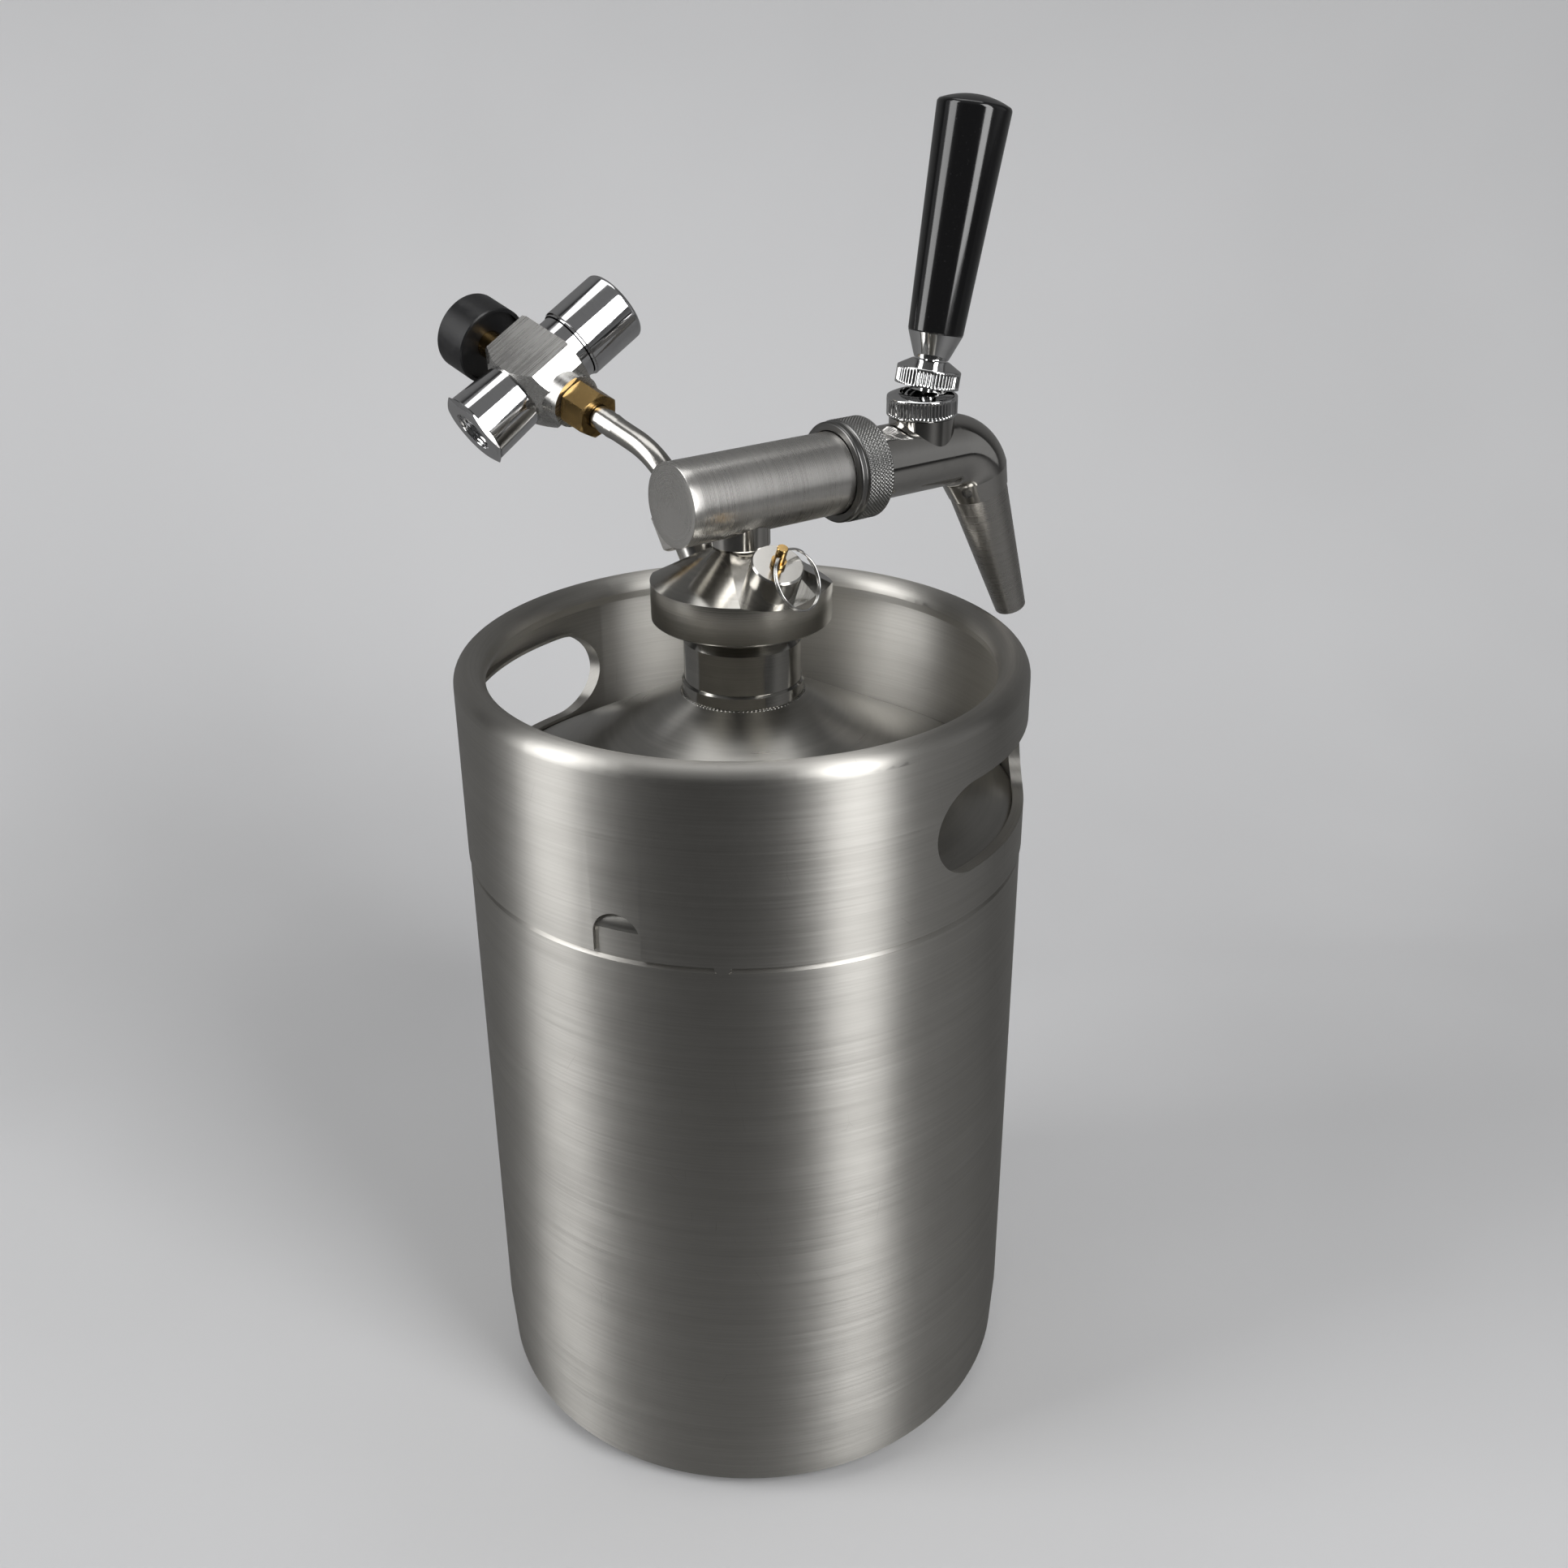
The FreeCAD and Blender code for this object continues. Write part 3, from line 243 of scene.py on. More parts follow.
def lathe_grain(recipe, matrix, fineness):
    """Fine lines that run round the axis: noise of height plus radius, which holds on sides and ends."""
    local = recipe.local(matrix)
    x, y, z = recipe.split(local)
    radius = (x * x + y * y).root()
    along = z + radius
    lines = recipe.noise(recipe.join(x * 14.0, y * 14.0, along * fineness), 1.0, 3.0, 0.62)
    return local, lines


def turned_steel(name, matrix, light, dark, rough=0.3, fineness=2600.0, relief=0.35, scratches=0.25,
                 directional=0.0):
    """Lathe-turned or brushed steel: grain round the axis, soft clouds of wear and a few fine scratches."""
    made, r = material(name)
    local, lines = lathe_grain(r, matrix, fineness)
    broad = r.noise(r.stretched(local, 30.0, 30.0, 260.0), 1.0, 4.0, 0.6)
    clouds = r.noise(local, 38.0, 4.0, 0.6)
    cells = {"feature": "DISTANCE_TO_EDGE"}
    values = {"Vector": r.stretched(local, 60.0, 47.0, 22.0), "Scale": 1.0}
    scratch = 1.0 - r.add("ShaderNodeTexVoronoi", cells, values).between(0.0, 0.004)
    rare = r.noise(local, 90.0, 1.0).between(0.6, 0.66)
    scratch = scratch * rare * scratches
    tone = (lines - 0.5) * 0.5 + (broad - 0.5) * 0.22 + (clouds - 0.5) * 0.2 + 0.5
    colour = r.mix(tone.between(0.1, 0.9), rgb(*dark), rgb(*light))
    colour = r.mix(scratch, colour, rgb(*[c * 0.7 for c in dark]))
    roughness = (lines - 0.5) * 0.1 + (clouds - 0.5) * 0.08 + scratch * 0.1 + rough
    normal = r.bump(lines + broad * 0.2 - scratch * 0.5, relief, 0.00002)
    r.surface({"Base Color": colour, "Metallic": 1.0, "Roughness": roughness, "Normal": normal,
               "Anisotropic": directional, "Anisotropic Rotation": 0.25, "Specular IOR Level": 0.5})
    return made


def bright_metal(name, matrix, light, dark, rough=0.07, haze=0.08):
    """Polished metal: faint polishing lines, fingerprint haze and tiny dents."""
    made, r = material(name)
    local, lines = lathe_grain(r, matrix, 1500.0)
    smears = r.noise(local, 120.0, 5.0, 0.65, 0.6).between(0.45, 0.75)
    dents = r.noise(local, 700.0, 2.0)
    colour = r.mix(smears * 0.4 + (lines - 0.5) * 0.4, rgb(*light), rgb(*dark))
    roughness = smears * haze + (lines - 0.5) * 0.04 + rough
    normal = r.bump(lines * 0.35 + dents * 0.4, 0.12, 0.00002)
    r.surface({"Base Color": colour, "Metallic": 1.0, "Roughness": roughness, "Normal": normal})
    return made


def milled_steel(name, matrix, light, dark, rough=0.3):
    """Milled and hand-brushed block: straight strokes along the frame's +Z with crossing fine scratches."""
    made, r = material(name)
    local = r.local(matrix)
    x, y, z = r.split(local)
    strokes = r.noise(r.join(x * 1900.0, y * 1900.0, z * 35.0), 1.0, 3.0, 0.6)
    fine = r.noise(r.join((x + z * 0.35) * 2400.0, y * 2400.0, (z - x) * 22.0), 1.0, 2.0)
    clouds = r.noise(local, 60.0, 3.0)
    tone = (strokes - 0.5) * 0.9 + (fine - 0.5) * 0.4 + (clouds - 0.5) * 0.5 + 0.5
    colour = r.mix(tone.between(0.1, 0.9), rgb(*dark), rgb(*light))
    roughness = (strokes - 0.5) * 0.2 + (clouds - 0.5) * 0.14 + rough
    normal = r.bump(strokes + fine * 0.5, 0.35, 0.00002)
    r.surface({"Base Color": colour, "Metallic": 1.0, "Roughness": roughness, "Normal": normal})
    return made


def machined_brass(name, matrix, rough):
    """Brass with fine tool lines, darker tarnish in patches and brighter worn spots."""
    made, r = material(name)
    local, lines = lathe_grain(r, matrix, 2200.0)
    tarnish = r.noise(local, 260.0, 4.0, 0.6).between(0.4, 0.7)
    colour = r.mix(tarnish, rgb(0.5, 0.33, 0.13), rgb(0.27, 0.18, 0.075))
    colour = r.mix(lines.between(0.55, 0.8) * 0.4, colour, rgb(0.8, 0.62, 0.32))
    normal = r.bump(lines + tarnish * 0.3, 0.3, 0.00002)
    r.surface({"Base Color": colour, "Metallic": 1.0, "Roughness": tarnish * 0.12 + rough,
               "Normal": normal})
    return made


def gloss_black(name, matrix):
    """Glossy black moulding: slow ripples under the gloss, faint dust and fine handling scratches."""
    made, r = material(name)
    local = r.local(matrix)
    x, y, z = r.split(local)
    ripple = r.noise(r.join(x * 60.0, y * 60.0, z * 18.0), 1.0, 2.0)
    dust = r.noise(local, 1800.0, 2.0).between(0.66, 0.74)
    rub = r.noise(r.join(x * 700.0, y * 700.0, z * 60.0), 1.0, 3.0, 0.6)
    colour = r.mix(dust * 0.35, rgb(0.0085, 0.0085, 0.009), rgb(0.05, 0.05, 0.05))
    normal = r.bump(ripple + rub * 0.04, 0.25, 0.0001)
    r.surface({"Base Color": colour, "Roughness": rub * 0.07 + dust * 0.1 + 0.1, "Normal": normal,
               "Coat Weight": 0.4, "Coat Roughness": 0.06})
    return made


def satin_black(name, scale, rough=0.42):
    """Satin black paint or rubber with a fine orange-peel and greyer rubbed places."""
    made, r = material(name)
    local = r.local(KEG)
    peel = r.noise(local, scale, 3.0)
    rubbed = r.noise(local, 180.0, 4.0, 0.6).between(0.5, 0.8)
    colour = r.mix(rubbed * 0.5, rgb(0.013, 0.013, 0.014), rgb(0.05, 0.05, 0.05))
    normal = r.bump(peel, 0.3, 0.00005)
    roughness = peel * 0.2 + rubbed * 0.1 + rough - 0.1
    r.surface({"Base Color": colour, "Roughness": roughness, "Normal": normal})
    return made


def dial_face(name):
    """Off-white printed dial with a faint paper tooth and yellowing towards its rim."""
    made, r = material(name)
    local = r.local(GAUGE)
    x, y, z = r.split(local)
    rim = (x * x + y * y).root().between(0.006, 0.012)
    tooth = r.noise(local, 1500.0, 2.0)
    colour = r.mix(rim * 0.6, rgb(0.82, 0.82, 0.8), rgb(0.7, 0.68, 0.6))
    r.surface({"Base Color": colour, "Roughness": tooth * 0.2 + 0.4, "Normal": r.bump(tooth, 0.1, 0.00002)})
    return made


def clear_lens(name):
    """Clear lens with a trace of smudging."""
    made, r = material(name)
    smudge = r.noise(r.local(GAUGE), 200.0, 4.0).between(0.5, 0.8)
    r.surface({"Base Color": rgb(0.97, 0.985, 0.98), "Roughness": smudge * 0.08 + 0.02, "IOR": 1.49,
               "Transmission Weight": 1.0})
    return made


# Surfaces

def grid_mesh(name, points, close_u, close_v):
    """Mesh of a grid of points; rows run along the first index, and either way may close on itself."""
    rows, columns = points.shape[:2]
    index = np.arange(rows * columns).reshape(rows, columns)
    i = np.arange(rows if close_u else rows - 1)
    j = np.arange(columns if close_v else columns - 1)
    i, j = np.meshgrid(i, j, indexing="ij")
    i2, j2 = (i + 1) % rows, (j + 1) % columns
    quads = np.stack([index[i, j], index[i2, j], index[i2, j2], index[i, j2]], -1).reshape(-1, 4)
    mesh = bpy.data.meshes.new(name)
    mesh.vertices.add(rows * columns)
    mesh.vertices.foreach_set("co", points.reshape(-1).astype(np.float32))
    mesh.loops.add(quads.size)
    mesh.loops.foreach_set("vertex_index", quads.reshape(-1).astype(np.int32))
    mesh.polygons.add(len(quads))
    mesh.polygons.foreach_set("loop_start", np.arange(0, quads.size, 4, dtype=np.int32))
    mesh.update(calc_edges=True)
    return mesh


def tidy(mesh, crease=32.0):
    """Merges poles and seams, turns the faces outwards and keeps edges sharper than the crease crisp."""
    work = bmesh.new()
    work.from_mesh(mesh)
    bmesh.ops.remove_doubles(work, verts=work.verts, dist=1e-7)
    bmesh.ops.dissolve_degenerate(work, edges=work.edges, dist=1e-8)
    bmesh.ops.recalc_face_normals(work, faces=work.faces)
    work.to_mesh(mesh)
    work.free()
    mesh.shade_smooth()
    mesh.set_sharp_from_angle(angle=math.radians(crease))


def piece(name, mesh, finish, body, slot, *replaced):
    """Puts a finished mesh into the scene on its body and hides the nodes it stands for; slot is not used.
    """
    mesh.materials.append(finish)
    made = bpy.data.objects.new(name, mesh)
    bpy.context.scene.collection.objects.link(made)
    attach(made, body)
    if replaced:
        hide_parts(*replaced)
    return made


def eased(profile, radius=0.25, steps=4):
    """Profile in millimetres with each corner rounded by an arc-like curve of a given size."""
    corners = np.asarray(profile, float)
    before = np.roll(corners, 1, 0)
    after = np.roll(corners, -1, 0)
    out = []
    for a, b, c in zip(before, corners, after):
        if b[0] < 1e-6:
            out.append(b[None])
            continue
        back, on = a - b, c - b
        reach = min(radius, 0.42 * np.linalg.norm(back), 0.42 * np.linalg.norm(on))
        start = b + back / np.linalg.norm(back) * reach
        end = b + on / np.linalg.norm(on) * reach
        t = np.linspace(0, 1, steps)[:, None]
        out.append((1 - t) ** 2 * start + 2 * t * (1 - t) * b + t ** 2 * end)
    return np.concatenate(out)


def densely(profile, spacing):
    """Closed profile with points added on its straight runs, no further apart than spacing."""
    loop = np.vstack([profile, profile[:1]])
    length = np.linalg.norm(np.diff(loop, axis=0), axis=1)
    counts = np.maximum(1, np.ceil(length / spacing).astype(int))
    run = np.repeat(np.arange(len(length)), counts)
    step = np.arange(len(run)) - np.repeat(np.cumsum(counts) - counts, counts)
    t = (step / counts[run])[:, None]
    return loop[run] * (1 - t) + loop[run + 1] * t


def turned(name, profile, matrix, count=160, carve=None):
    """Surface of revolution: each profile point (r, z) goes to (r cos a, r sin a, z) for every angle a.
    carve(r, z, a) gives back r with a pattern cut into it."""
    angle = np.linspace(0, 2 * math.pi, count, endpoint=False)
    radius = np.broadcast_to(profile[:, :1], (len(profile), count))
    height = np.broadcast_to(profile[:, 1:], (len(profile), count))
    if carve:
        radius = carve(radius, height, angle[None, :])
    points = np.stack([radius * np.cos(angle), radius * np.sin(angle), height], -1) * MM
    turn = np.array(matrix.to_3x3())
    mesh = grid_mesh(name, points @ turn.T + np.array(matrix.translation), True, True)
    tidy(mesh)
    return mesh


def wave(phase):
    """Triangle wave between 0 and 1."""
    return np.abs(phase % 1.0 * 2 - 1)


def tube(name, path, radius, sides=14):
    """Round wire along an open path: each cross-section circle stands square to the path."""
    forward = np.gradient(path, axis=0)
    forward /= np.linalg.norm(forward, axis=1, keepdims=True)
    hint = path - path.mean(0)
    side = np.cross(forward, hint)
    side /= np.linalg.norm(side, axis=1, keepdims=True)
    up = np.cross(side, forward)
    around = np.linspace(0, 2 * math.pi, sides, endpoint=False)
    ring = side[:, None] * np.cos(around)[None, :, None] + up[:, None] * np.sin(around)[None, :, None]
    points = path[:, None] + ring * radius
    points = np.concatenate([path[:1, None].repeat(sides, 1), points, path[-1:, None].repeat(sides, 1)])
    mesh = grid_mesh(name, points, False, True)
    tidy(mesh, 60)
    return mesh


def coil(matrix, radius, foot, height, turns, per_turn=36):
    """Path of a helix in millimetres: the angle grows evenly while the height rises evenly."""
    t = np.linspace(0, 1, int(turns * per_turn))
    angle = 2 * math.pi * turns * t
    local = np.stack([radius * np.cos(angle), radius * np.sin(angle), foot + height * t], -1) * MM
    return local @ np.array(matrix.to_3x3()).T + np.array(matrix.translation)


# New pieces

def dispensing_bar():
    """Turned bar with a crisp closed end, a flange and an open bore."""
    length = bar_closed_end + bar_front
    flange_rear = length - bar_flange
    bore_floor = length - bar_bore_depth
    outline = [(0, 0), (bar_radius, 0), (bar_radius, flange_rear), (bar_flange_radius, flange_rear),
               (bar_flange_radius, length), (bar_bore, length), (bar_bore, bore_floor), (0, bore_floor)]
    profile = eased(outline, 0.3)
    mesh = turned("dispensing_bar_turned", densely(profile, 4), BAR, 192)
    return piece("dispensing_bar_turned", mesh, bar_steel, "head", "bar_steel", "dispensing_bar")


def coupling_nut():
    """Diamond-knurled nut: two crossed sets of triangular grooves and a plain bevelled ring behind."""
    teeth = 84
    knurl_start, knurl_end = 3.0, nut_length - 0.7
    depth = 0.3
    pitch = 2 * math.pi * nut_radius / teeth
    plain = nut_radius - 0.25
    groove = nut_radius - 0.8
    ring = [(nut_bore, 0), (nut_radius - 0.7, 0), (plain, 0.5), (plain, 2.0), (groove, 2.2), (groove, 2.6),
            (nut_radius, knurl_start), (nut_radius, knurl_end), (nut_radius - 0.9, nut_length),
            (nut_flange_bore, nut_length), (nut_flange_bore, nut_flange_floor),
            (nut_bore, nut_flange_floor)]
    profile = densely(eased(ring, 0.15, 3), 0.16)

    def diamonds(r, z, a):
        phase = a * teeth / (2 * math.pi)
        lines = np.minimum(wave(phase + z / pitch), wave(phase - z / pitch))
        band = np.clip((z - knurl_start) / 0.3, 0, 1) * np.clip((knurl_end - z) / 0.3, 0, 1)
        outer = np.clip((r - nut_radius + 0.5) / 0.3, 0, 1)
        return r - depth * (1 - np.clip(lines * 1.7, 0, 1)) * band * outer

    matrix = place((0, -nut_rear, bar_height), (0, -1, 0))
    mesh = turned("coupling_nut_knurled", profile, matrix, teeth * 8, diamonds)
    mesh.set_sharp_from_angle(angle=math.radians(50))
    return piece("coupling_nut_knurled", mesh, knurl_shaded_steel, "coupling", "bar_steel", "coupling_nut")


def straight_knurl(teeth, low, high, edge, depth=0.32):
    """Carver of straight grooves between two heights, on the outside only."""
    def carve(r, z, a):
        groove = np.clip(wave(a * teeth / (2 * math.pi)) * 1.5, 0, 1)
        band = np.clip((z - low) / 0.25, 0, 1) * np.clip((high - z) / 0.25, 0, 1)
        outer = np.clip((r - edge + 0.5) / 0.3, 0, 1)
        return r - depth * (1 - groove) * band * outer
    return carve


def ball_arc(radius, low, high, count=12):
    """Points of a ball's inner seat in the profile plane, from one height to another."""
    z = np.linspace(low, high, count)
    return list(zip(np.sqrt(radius ** 2 - z ** 2), z))


def bonnet_nut():
    """Knurled bonnet with a polished shoulder over its ball seat."""
    teeth = 56
    foot, edge, top = -0.7, 5.2, 6.4
    ring = [(bonnet_radius, foot), (bonnet_radius, edge), (9.4, 5.9), (8.15, top), (6.95, top)]
    ring += ball_arc(bonnet_ball_seat, 4.16, foot)
    mesh = turned("bonnet_nut_knurled", densely(eased(ring, 0.3, 3), 0.3), BONNET, teeth * 8,
                  straight_knurl(teeth, -0.2, 4.7, bonnet_radius))
    return piece("bonnet_nut_knurled", mesh, lever_chrome, "bonnet", "polished_steel", "bonnet_nut")


def lock_collar():
    """Knurled lock collar with a polished cone above and a hollow underneath."""
    teeth = 52
    edge = 13.4
    hollow = ball_arc(lock_ball_seat, lock_foot, lock_roof)
    ring = [(lock_radius, lock_foot), (lock_radius, edge), (5.7, lock_top), (lock_bore, lock_top),
            (lock_bore, lock_roof)] + hollow[::-1]
    mesh = turned("lock_collar_knurled", densely(eased(ring, 0.3, 3), 0.3), LEVER, teeth * 8,
                  straight_knurl(teeth, 8.4, 12.9, lock_radius))
    return piece("lock_collar_knurled", mesh, lever_chrome, "lock", "polished_steel", "lock_collar")


def pull_ring():
    """Split ring: a wire that goes round twice and steps sideways by its own thickness as it closes."""
    across = lean(90, ring_azimuth)
    across = (across - relief_axis * across.dot(relief_axis)).normalized()
    outward = across.cross(relief_axis)
    fall = math.radians(ring_fall)
    down = outward * math.cos(fall) - relief_axis * math.sin(fall)
    normal = across.cross(down)
    hole = Vector(relief_face) + relief_axis * ring_hole_height
    centre = np.array(hole + down * ring_radius)
    end_gap, split_turn, step_length, step_height = 0.16, 1.9, 0.45, 0.66
    t = np.linspace(end_gap, 4 * math.pi - end_gap, 300)
    step = np.clip((t - 2 * math.pi) / step_length * 0.5 + 0.5, 0, 1)
    shift = (step ** 2 * (3 - 2 * step) - 0.5) * step_height
    turn = t + split_turn
    circle = np.cos(turn)[:, None] * np.array(down) + np.sin(turn)[:, None] * np.array(across)
    path = (centre + ring_radius * circle + shift[:, None] * np.array(normal)) * MM
    mesh = tube("split_ring", path, ring_wire * MM)
    return piece("split_ring", mesh, ring_chrome, "ring", "polished_steel", "pull_ring")


def spring(name, matrix, radius, wire, foot, height, turns, body, node):
    mesh = tube(name, coil(matrix, radius, foot + wire, height - 2 * wire, turns), wire * MM, 10)
    return piece(name, mesh, spring_wire, body, "spring_steel", node)


def thread(name, matrix, root, crest, foot, height, pitch, finish, body, slot):
    """Screw thread: a sleeve whose outside rises and falls as a triangle wave of height less turn."""
    inner = min(root, crest) - 0.5 if crest > root else root + 0.5
    ring = np.array([(root, foot), (root, foot + height), (inner, foot + height), (inner, foot)], float)

    def ridge(r, z, a):
        near = np.clip((z - foot) / 0.8, 0, 1) * np.clip((foot + height - z) / 0.8, 0, 1)
        on = np.abs(r - root) < 0.1
        return np.where(on, r + (crest - root) * wave(z / pitch - a / (2 * math.pi)) * near, r)

    mesh = turned(name, densely(ring, pitch / 6), matrix, 96, ridge)
    return piece(name, mesh, finish, body, slot)


def weld_bead():
    """Rippled weld round the foot of the neck: a small round bead whose size swells evenly along it."""
    count, sides = 720, 12
    weld_radius, weld_height = 18.75, 246.35
    angle = np.linspace(0, 2 * math.pi, count, endpoint=False)
    around = np.linspace(0, 2 * math.pi, sides, endpoint=False)
    size = 0.55 + 0.1 * np.sin(angle * 95) + 0.08 * np.sin(angle * 7)
    radius = weld_radius + size[:, None] * np.cos(around)
    height = weld_height + size[:, None] * 0.8 * np.sin(around)
    points = np.stack([radius * np.cos(angle)[:, None], radius * np.sin(angle)[:, None], height], -1) * MM
    mesh = grid_mesh("neck_weld", points, True, True)
    tidy(mesh, 60)
    return piece("neck_weld", mesh, neck_steel, "keg", "neck_steel")


def flat_bars(name, starts, ends, width, height):
    """Flat bars on the dial: each is a quad between two points, widened square to its length."""
    starts, ends = np.asarray(starts, float), np.asarray(ends, float)
    way = ends - starts
    way /= np.linalg.norm(way, axis=1, keepdims=True)
    side = np.stack([-way[:, 1], way[:, 0]], -1) * (np.asarray(width)[:, None] / 2)
    corners = np.stack([starts - side, ends - side, ends + side, starts + side], 1)
    full = np.concatenate([corners, np.full(corners.shape[:2] + (1,), height)], -1).reshape(-1, 3) * MM
    turn = np.array(GAUGE.to_3x3())
    mesh = bpy.data.meshes.new(name)
    mesh.from_pydata((full @ turn.T + np.array(GAUGE.translation)).tolist(), [],
                     np.arange(len(full)).reshape(-1, 4).tolist())
    mesh.update()
    return mesh


def dial_marks():
    """Pressure scale: ticks spread evenly over three quarters of a turn, every tenth one long."""
    ticks = np.arange(dial_ticks + 1)
    angle = np.radians(dial_start - ticks * dial_sweep / dial_ticks)
    way = np.stack([np.cos(angle), np.sin(angle)], -1)
    long_tick = ticks % 10 == 0
    inner = np.where(long_tick, 8.0, np.where(ticks % 5 == 0, 8.7, 9.3))[:, None]
    width = np.where(long_tick, 0.34, 0.16)
    mesh = flat_bars("dial_ticks", way * inner, way * 10.2, width, dial_front + 0.03)
    return piece("dial_ticks", mesh, ink, "head", "needle_black")


def dial_number(text, angle):
    """A numeral laid on the dial, turned into a mesh before it is placed."""
    reach = 6.1
    curve = bpy.data.curves.new("numeral_" + text, "FONT")
    curve.body = text
    curve.size = 3.0 * MM
    curve.align_x = "CENTER"
    curve.align_y = "CENTER"
    curve.offset = 0.04 * MM
    holder = bpy.data.objects.new("numeral_" + text, curve)
    mesh = bpy.data.meshes.new_from_object(holder)
    bpy.data.objects.remove(holder)
    turn = math.radians(angle)
    spot = Vector((reach * math.cos(turn), reach * math.sin(turn), dial_front + 0.03)) * MM
    mesh.transform(GAUGE @ Matrix.Translation(spot))
    return piece("dial_numeral_" + text, mesh, ink, "head", "needle_black")


# Finishes

warm_light, warm_dark = (0.66, 0.645, 0.61), (0.47, 0.455, 0.425)
keg_steel = turned_steel("keg_brushed", KEG, warm_light, warm_dark, 0.43, 1500.0, 0.3, 0.3, 0.9)
# The dome is a darker copy of the keg steel: painted shade for where it lies down inside the collar.
dome_shaded_steel = turned_steel("dome_brushed_painted_shade", KEG, (0.5, 0.49, 0.46), (0.34, 0.33, 0.31), 0.3, 1500.0, 0.3, 0.3)
# The neck and the screw cap are darker copies of the keg steel: painted shade for where they sit inside the
# collar.
neck_steel = turned_steel("neck_turned_painted_shade", KEG, (0.46, 0.45, 0.42), (0.3, 0.29, 0.27), 0.14, 3000.0)
cap_shaded_steel = turned_steel("cap_turned_painted_shade", KEG, (0.56, 0.545, 0.51), (0.38, 0.37, 0.345), 0.17, 2600.0, 0.3,
                         0.1)
bar_steel = turned_steel("bar_turned", BAR, (0.84, 0.82, 0.79), (0.64, 0.625, 0.6), 0.28, 3200.0, 0.6)
# The knurled nut is a much darker copy of the bar steel: painted shade standing in for the shade in the
# knurl's grooves.
knurl_shaded_steel = turned_steel("nut_knurl_painted_shade", BAR, (0.3, 0.297, 0.29), (0.18, 0.178, 0.174), 0.3, 3000.0)
tap_steel = bright_metal("tap_polished", SPOUT, (0.6, 0.585, 0.56), (0.45, 0.435, 0.41), 0.09, 0.12)
spout_steel = turned_steel("spout_satin", SPOUT, (0.6, 0.58, 0.55), (0.42, 0.405, 0.385), 0.27, 900.0, 0.3)
lever_chrome = bright_metal("lever_chrome", LEVER, (0.8, 0.8, 0.8), (0.62, 0.62, 0.62), 0.06)
stem_steel = bright_metal("stem_polished", KEG, (0.68, 0.665, 0.63), (0.5, 0.485, 0.455), 0.12, 0.1)
ring_chrome = bright_metal("ring_wire", RELIEF, (0.76, 0.755, 0.74), (0.6, 0.59, 0.57), 0.1)
relief_steel = turned_steel("relief_turned", RELIEF, (0.66, 0.645, 0.61), (0.48, 0.465, 0.44), 0.2, 3200.0)
inlet_steel = turned_steel("inlet_turned", INLET, (0.64, 0.625, 0.6), (0.46, 0.45, 0.43), 0.22, 2600.0)
tube_steel = turned_steel("tube_drawn", GAUGE, (0.62, 0.605, 0.57), (0.45, 0.435, 0.41), 0.22, 1800.0)
regulator_steel = milled_steel("regulator_milled", KNOB, (0.72, 0.71, 0.69), (0.52, 0.51, 0.49), 0.27)
chrome = bright_metal("regulator_chrome", KNOB, (0.82, 0.82, 0.83), (0.66, 0.66, 0.67), 0.05)
nut_brass = machined_brass("nut_brass", GAUGE, 0.2)
pin_brass = machined_brass("pin_brass", RELIEF, 0.14)
spring_wire = turned_steel("spring_wire", RELIEF, (0.5, 0.5, 0.5), (0.38, 0.38, 0.38), 0.25)
handle_black = gloss_black("handle_gloss", LEVER)
gauge_black = satin_black("gauge_satin", 900.0, 0.34)
rubber = satin_black("seal_rubber", 1500.0, 0.6)
ink = satin_black("dial_ink", 2000.0, 0.55)
dial_white = dial_face("dial_paper")
lens = clear_lens("gauge_lens")

finish_by_node = {
    keg_steel: ("keg_shell", "collar"),
    dome_shaded_steel: ("keg_dome",),
    neck_steel: ("keg_neck", "dip_tube"),
    cap_shaded_steel: ("screw_cap", "stem_nut"),
    stem_steel: ("stem",),
    bar_steel: ("dispensing_bar", "coupling_nut"),
    tap_steel: ("tap_body", "shuttle"),
    spout_steel: ("spout",),
    lever_chrome: ("bonnet_nut", "lever", "lock_collar", "ferrule"),
    ring_chrome: ("pull_ring",),
    relief_steel: ("relief_body",),
    inlet_steel: ("gas_stub", "gas_nut"),
    tube_steel: ("gas_tube",),
    regulator_steel: ("regulator_body",),
    chrome: ("cartridge_holder", "regulator_collar", "regulator_knob", "piercing_pin"),
    nut_brass: ("brass_nut", "gauge_stem"),
    pin_brass: ("relief_pin",),
    spring_wire: ("relief_spring", "regulator_spring", "spring_plate", "regulator_piston",
                  "adjusting_screw"),
    handle_black: ("handle",),
    gauge_black: ("gauge_case", "gauge_needle"),
    rubber: ("neck_seal", "tail_seal", "seat_ring", "shuttle_disc", "relief_disc", "cartridge_seal"),
    dial_white: ("gauge_dial",),
    lens: ("gauge_lens",),
}
for finish, names in finish_by_node.items():
    for name in names:
        for material_slot in nodes[name].material_slots:
            material_slot.material = finish

dispensing_bar()
coupling_nut()
bonnet_nut()
lock_collar()
pull_ring()
relief_foot = place(Vector(relief_face) - relief_axis * relief_height, relief_axis)
spring("relief_spring_coil", relief_foot, 3.1, 0.4, -1.2, 5.4, 4.5, "relief", "relief_spring")
spring("regulator_spring_coil", KNOB, 5.1, 0.55, 0.4, 2.6, 1.6, "head", "regulator_spring")
thread("neck_thread", KEG, 16.28, 16.62, 266.4, 11.8, 1.8, neck_steel, "keg", "neck_steel")
thread("socket_thread", KNOB, 6.92, 6.45, -28.0, 8.2, 1.1, chrome, "head", "regulator_chrome")
weld_bead()
dial_marks()
for number in range(dial_numbers + 1):
    dial_number(str(number), dial_start - number * dial_sweep / dial_numbers)


# Studio

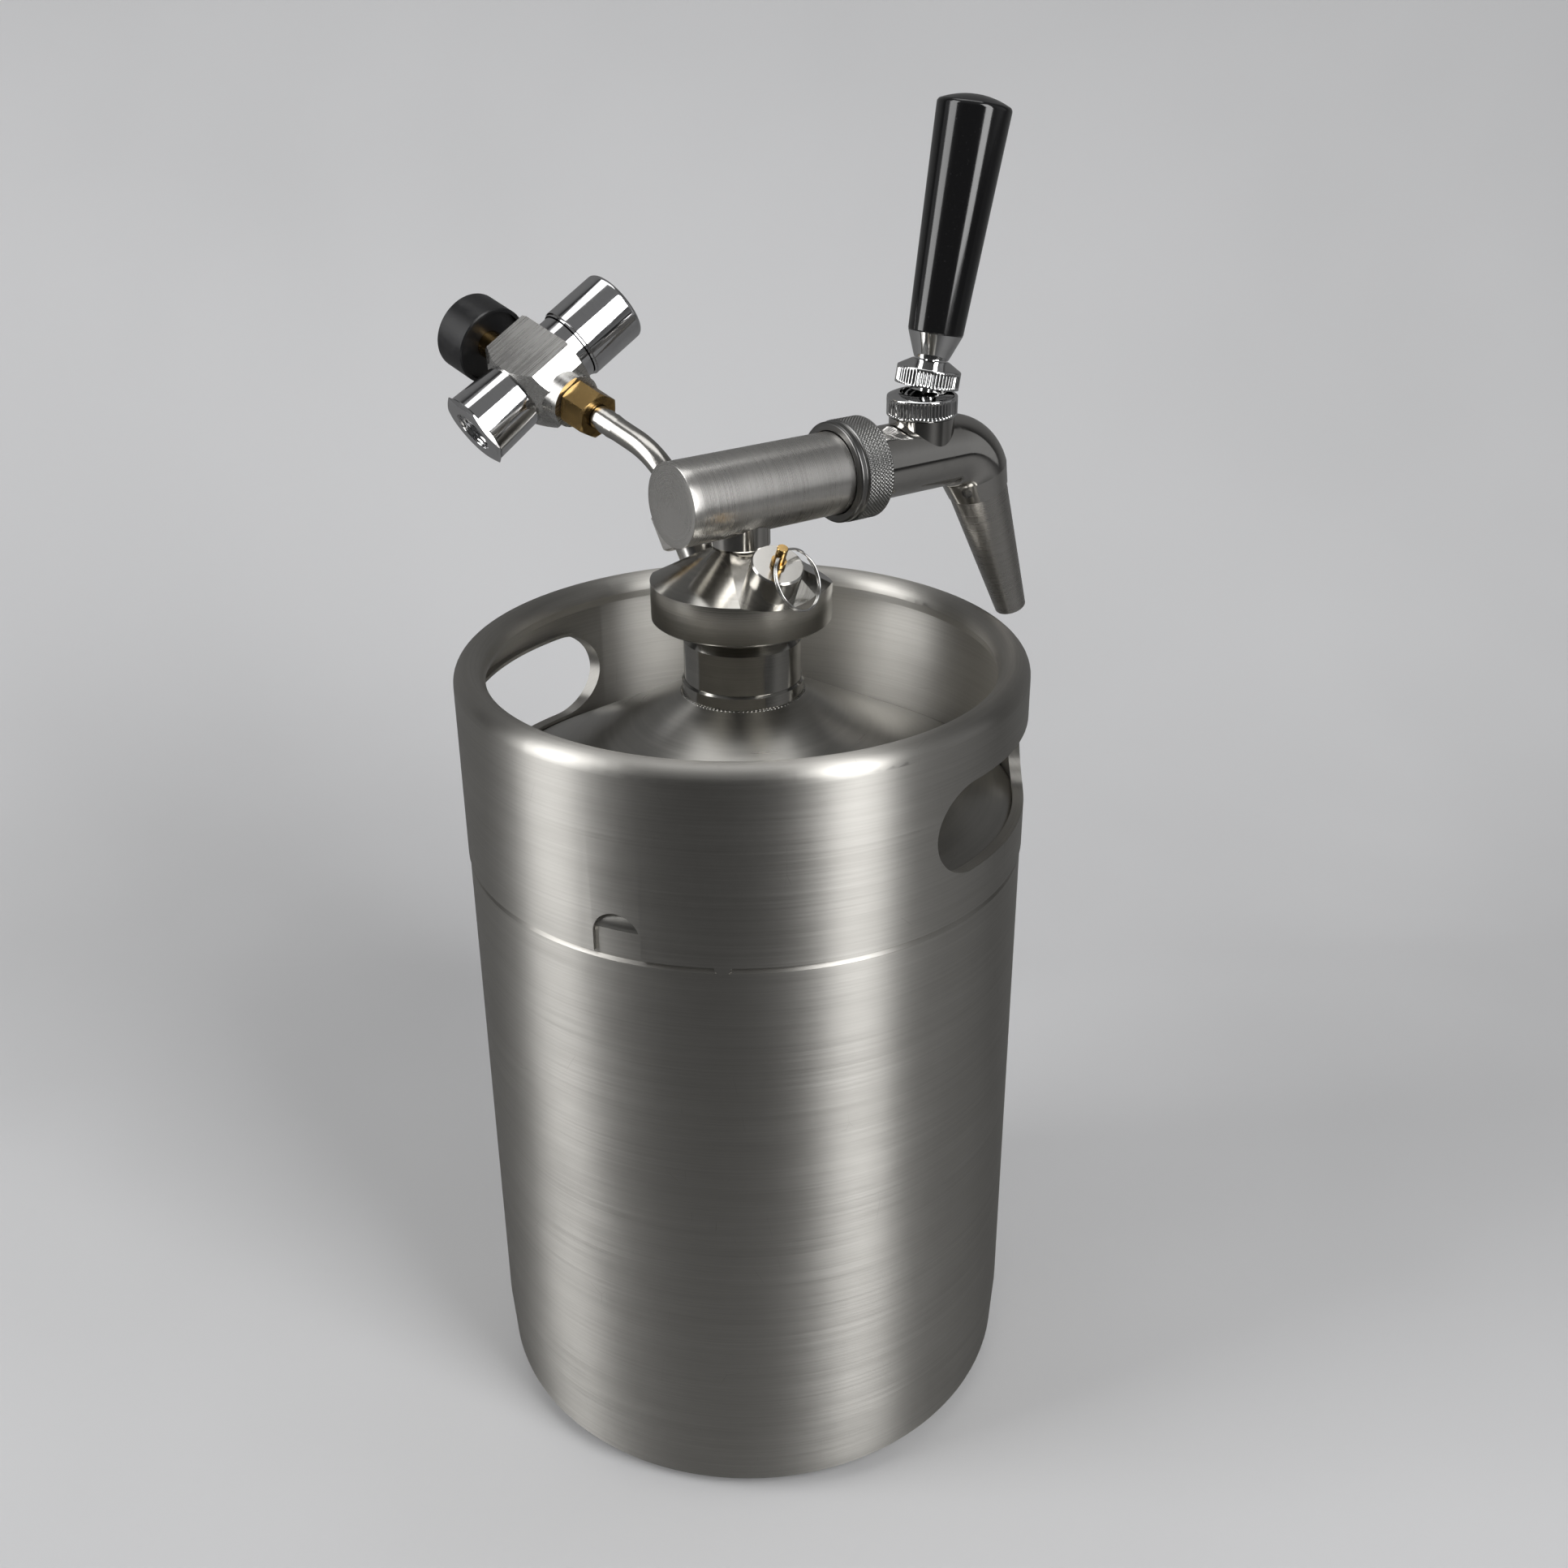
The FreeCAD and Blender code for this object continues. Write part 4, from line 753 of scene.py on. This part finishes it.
def floor_sweep():
    """Floor that curves up into a wall behind the object: a line with a quarter circle, carried sideways.
    It is paler to the eye than in the reflections on the object, where it shows a painted dark reflection
    colour, darkest on the side towards the camera."""
    view = math.radians(camera_azimuth)
    away = np.array([-math.cos(view), -math.sin(view)])
    side = np.array([-away[1], away[0]])
    bend, back, top, near, wide = 0.5, 0.75, 2.6, 1.6, 2.6
    angle = np.linspace(0, math.pi / 2, 24)
    run = np.concatenate([[-near, back - bend], back - bend + bend * np.sin(angle), [back]])
    rise = np.concatenate([[0, 0], bend - bend * np.cos(angle), [top]])
    across = np.linspace(-wide, wide, 2)
    flat = run[:, None, None] * away + across[None, :, None] * side
    points = np.concatenate([flat, np.broadcast_to(rise[:, None, None], flat.shape[:2] + (1,))], -1)
    mesh = grid_mesh("floor_sweep", points, False, False)
    mesh.shade_smooth()
    made, r = material("floor_cloth")
    local = r.local(KEG)
    x, y, z = r.split(local)
    toward = x * math.cos(view) + y * math.sin(view)
    folds = r.noise(local, 2.2, 3.0, 0.5)
    weave = r.noise(local, 900.0, 2.0)
    seen = r.mix(folds.between(0.3, 0.7), rgb(0.68, 0.682, 0.691), rgb(0.74, 0.742, 0.753))
    # Painted reflection and shade: to rays that come off the object the floor is dark, darkest on the side
    # towards the camera.
    painted_dark_reflection = r.mix(toward.between(0.2, 0.42), rgb(0.2, 0.2, 0.2), rgb(0.03, 0.03, 0.03))
    colour = r.mix(r.add("ShaderNodeLightPath"), painted_dark_reflection, seen)
    normal = r.bump(folds + weave * 0.002, 0.4, 0.02)
    r.surface({"Base Color": colour, "Roughness": 0.9, "Normal": normal})
    mesh.materials.append(made)
    sweep = bpy.data.objects.new("floor_sweep", mesh)
    bpy.context.scene.collection.objects.link(sweep)


def softbox(name, azimuth, distance, height, width, tall, power):
    """Rectangular lamp at an azimuth and height, aimed at the middle of the object."""
    aim = 0.2
    turn = math.radians(azimuth)
    lamp = bpy.data.lights.new(name, "AREA")
    lamp.shape = "RECTANGLE"
    lamp.size, lamp.size_y = width, tall
    lamp.energy = power
    holder = bpy.data.objects.new(name, lamp)
    spot = Vector((distance * math.cos(turn), distance * math.sin(turn), height))
    holder.location = spot
    holder.rotation_euler = (Vector((0, 0, aim)) - spot).to_track_quat("-Z", "Y").to_euler()
    bpy.context.scene.collection.objects.link(holder)


def studio_world():
    """Room light: grey all round, brighter overhead, and darker behind the camera."""
    world = bpy.data.worlds.new("studio")
    bpy.context.scene.world = world
    r = Recipe(world)
    direction = r.add("ShaderNodeTexCoord", output="Generated")
    x, y, z = r.split(direction)
    view = math.radians(camera_azimuth)
    toward = x * math.cos(view) + y * math.sin(view)
    dark = toward.between(0.15, 0.75)
    above = z.between(0.2, 0.8)
    colour = r.mix(dark, rgb(0.26, 0.262, 0.265), rgb(0.03, 0.03, 0.03))
    colour = r.mix(above, colour, rgb(0.15, 0.15, 0.15))
    background = r.node("ShaderNodeBackground", values={"Color": colour, "Strength": 1.0})
    out = r.node("ShaderNodeOutputWorld")
    r.tree.links.new(background.outputs[0], out.inputs["Surface"])


def camera():
    """Camera from the photo's fitted view: eye, right and up directions, and lens."""
    right = Vector((-0.587602, -0.809127, -0.006041))
    up = Vector((0.346462, -0.258339, 0.90179))
    data = bpy.data.cameras.new("camera")
    data.lens = 39.844
    data.sensor_width = 36.0
    data.clip_start = 0.01
    made = bpy.data.objects.new("camera", data)
    turn = Matrix((right, up, right.cross(up))).transposed().to_4x4()
    made.matrix_world = Matrix.Translation((-0.408251, 0.279431, 0.450663)) @ turn
    bpy.context.scene.collection.objects.link(made)
    bpy.context.scene.camera = made


floor_sweep()
studio_world()
softbox("left_window", azimuth=70.0, distance=1.25, height=0.75, width=0.62, tall=1.5, power=11.0)
softbox("right_window", azimuth=187.0, distance=1.25, height=0.8, width=0.55, tall=1.4, power=14.0)
softbox("ceiling", azimuth=330.0, distance=0.5, height=1.9, width=1.3, tall=1.3, power=8.0)
camera()
bpy.context.scene.view_settings.view_transform = "Standard"
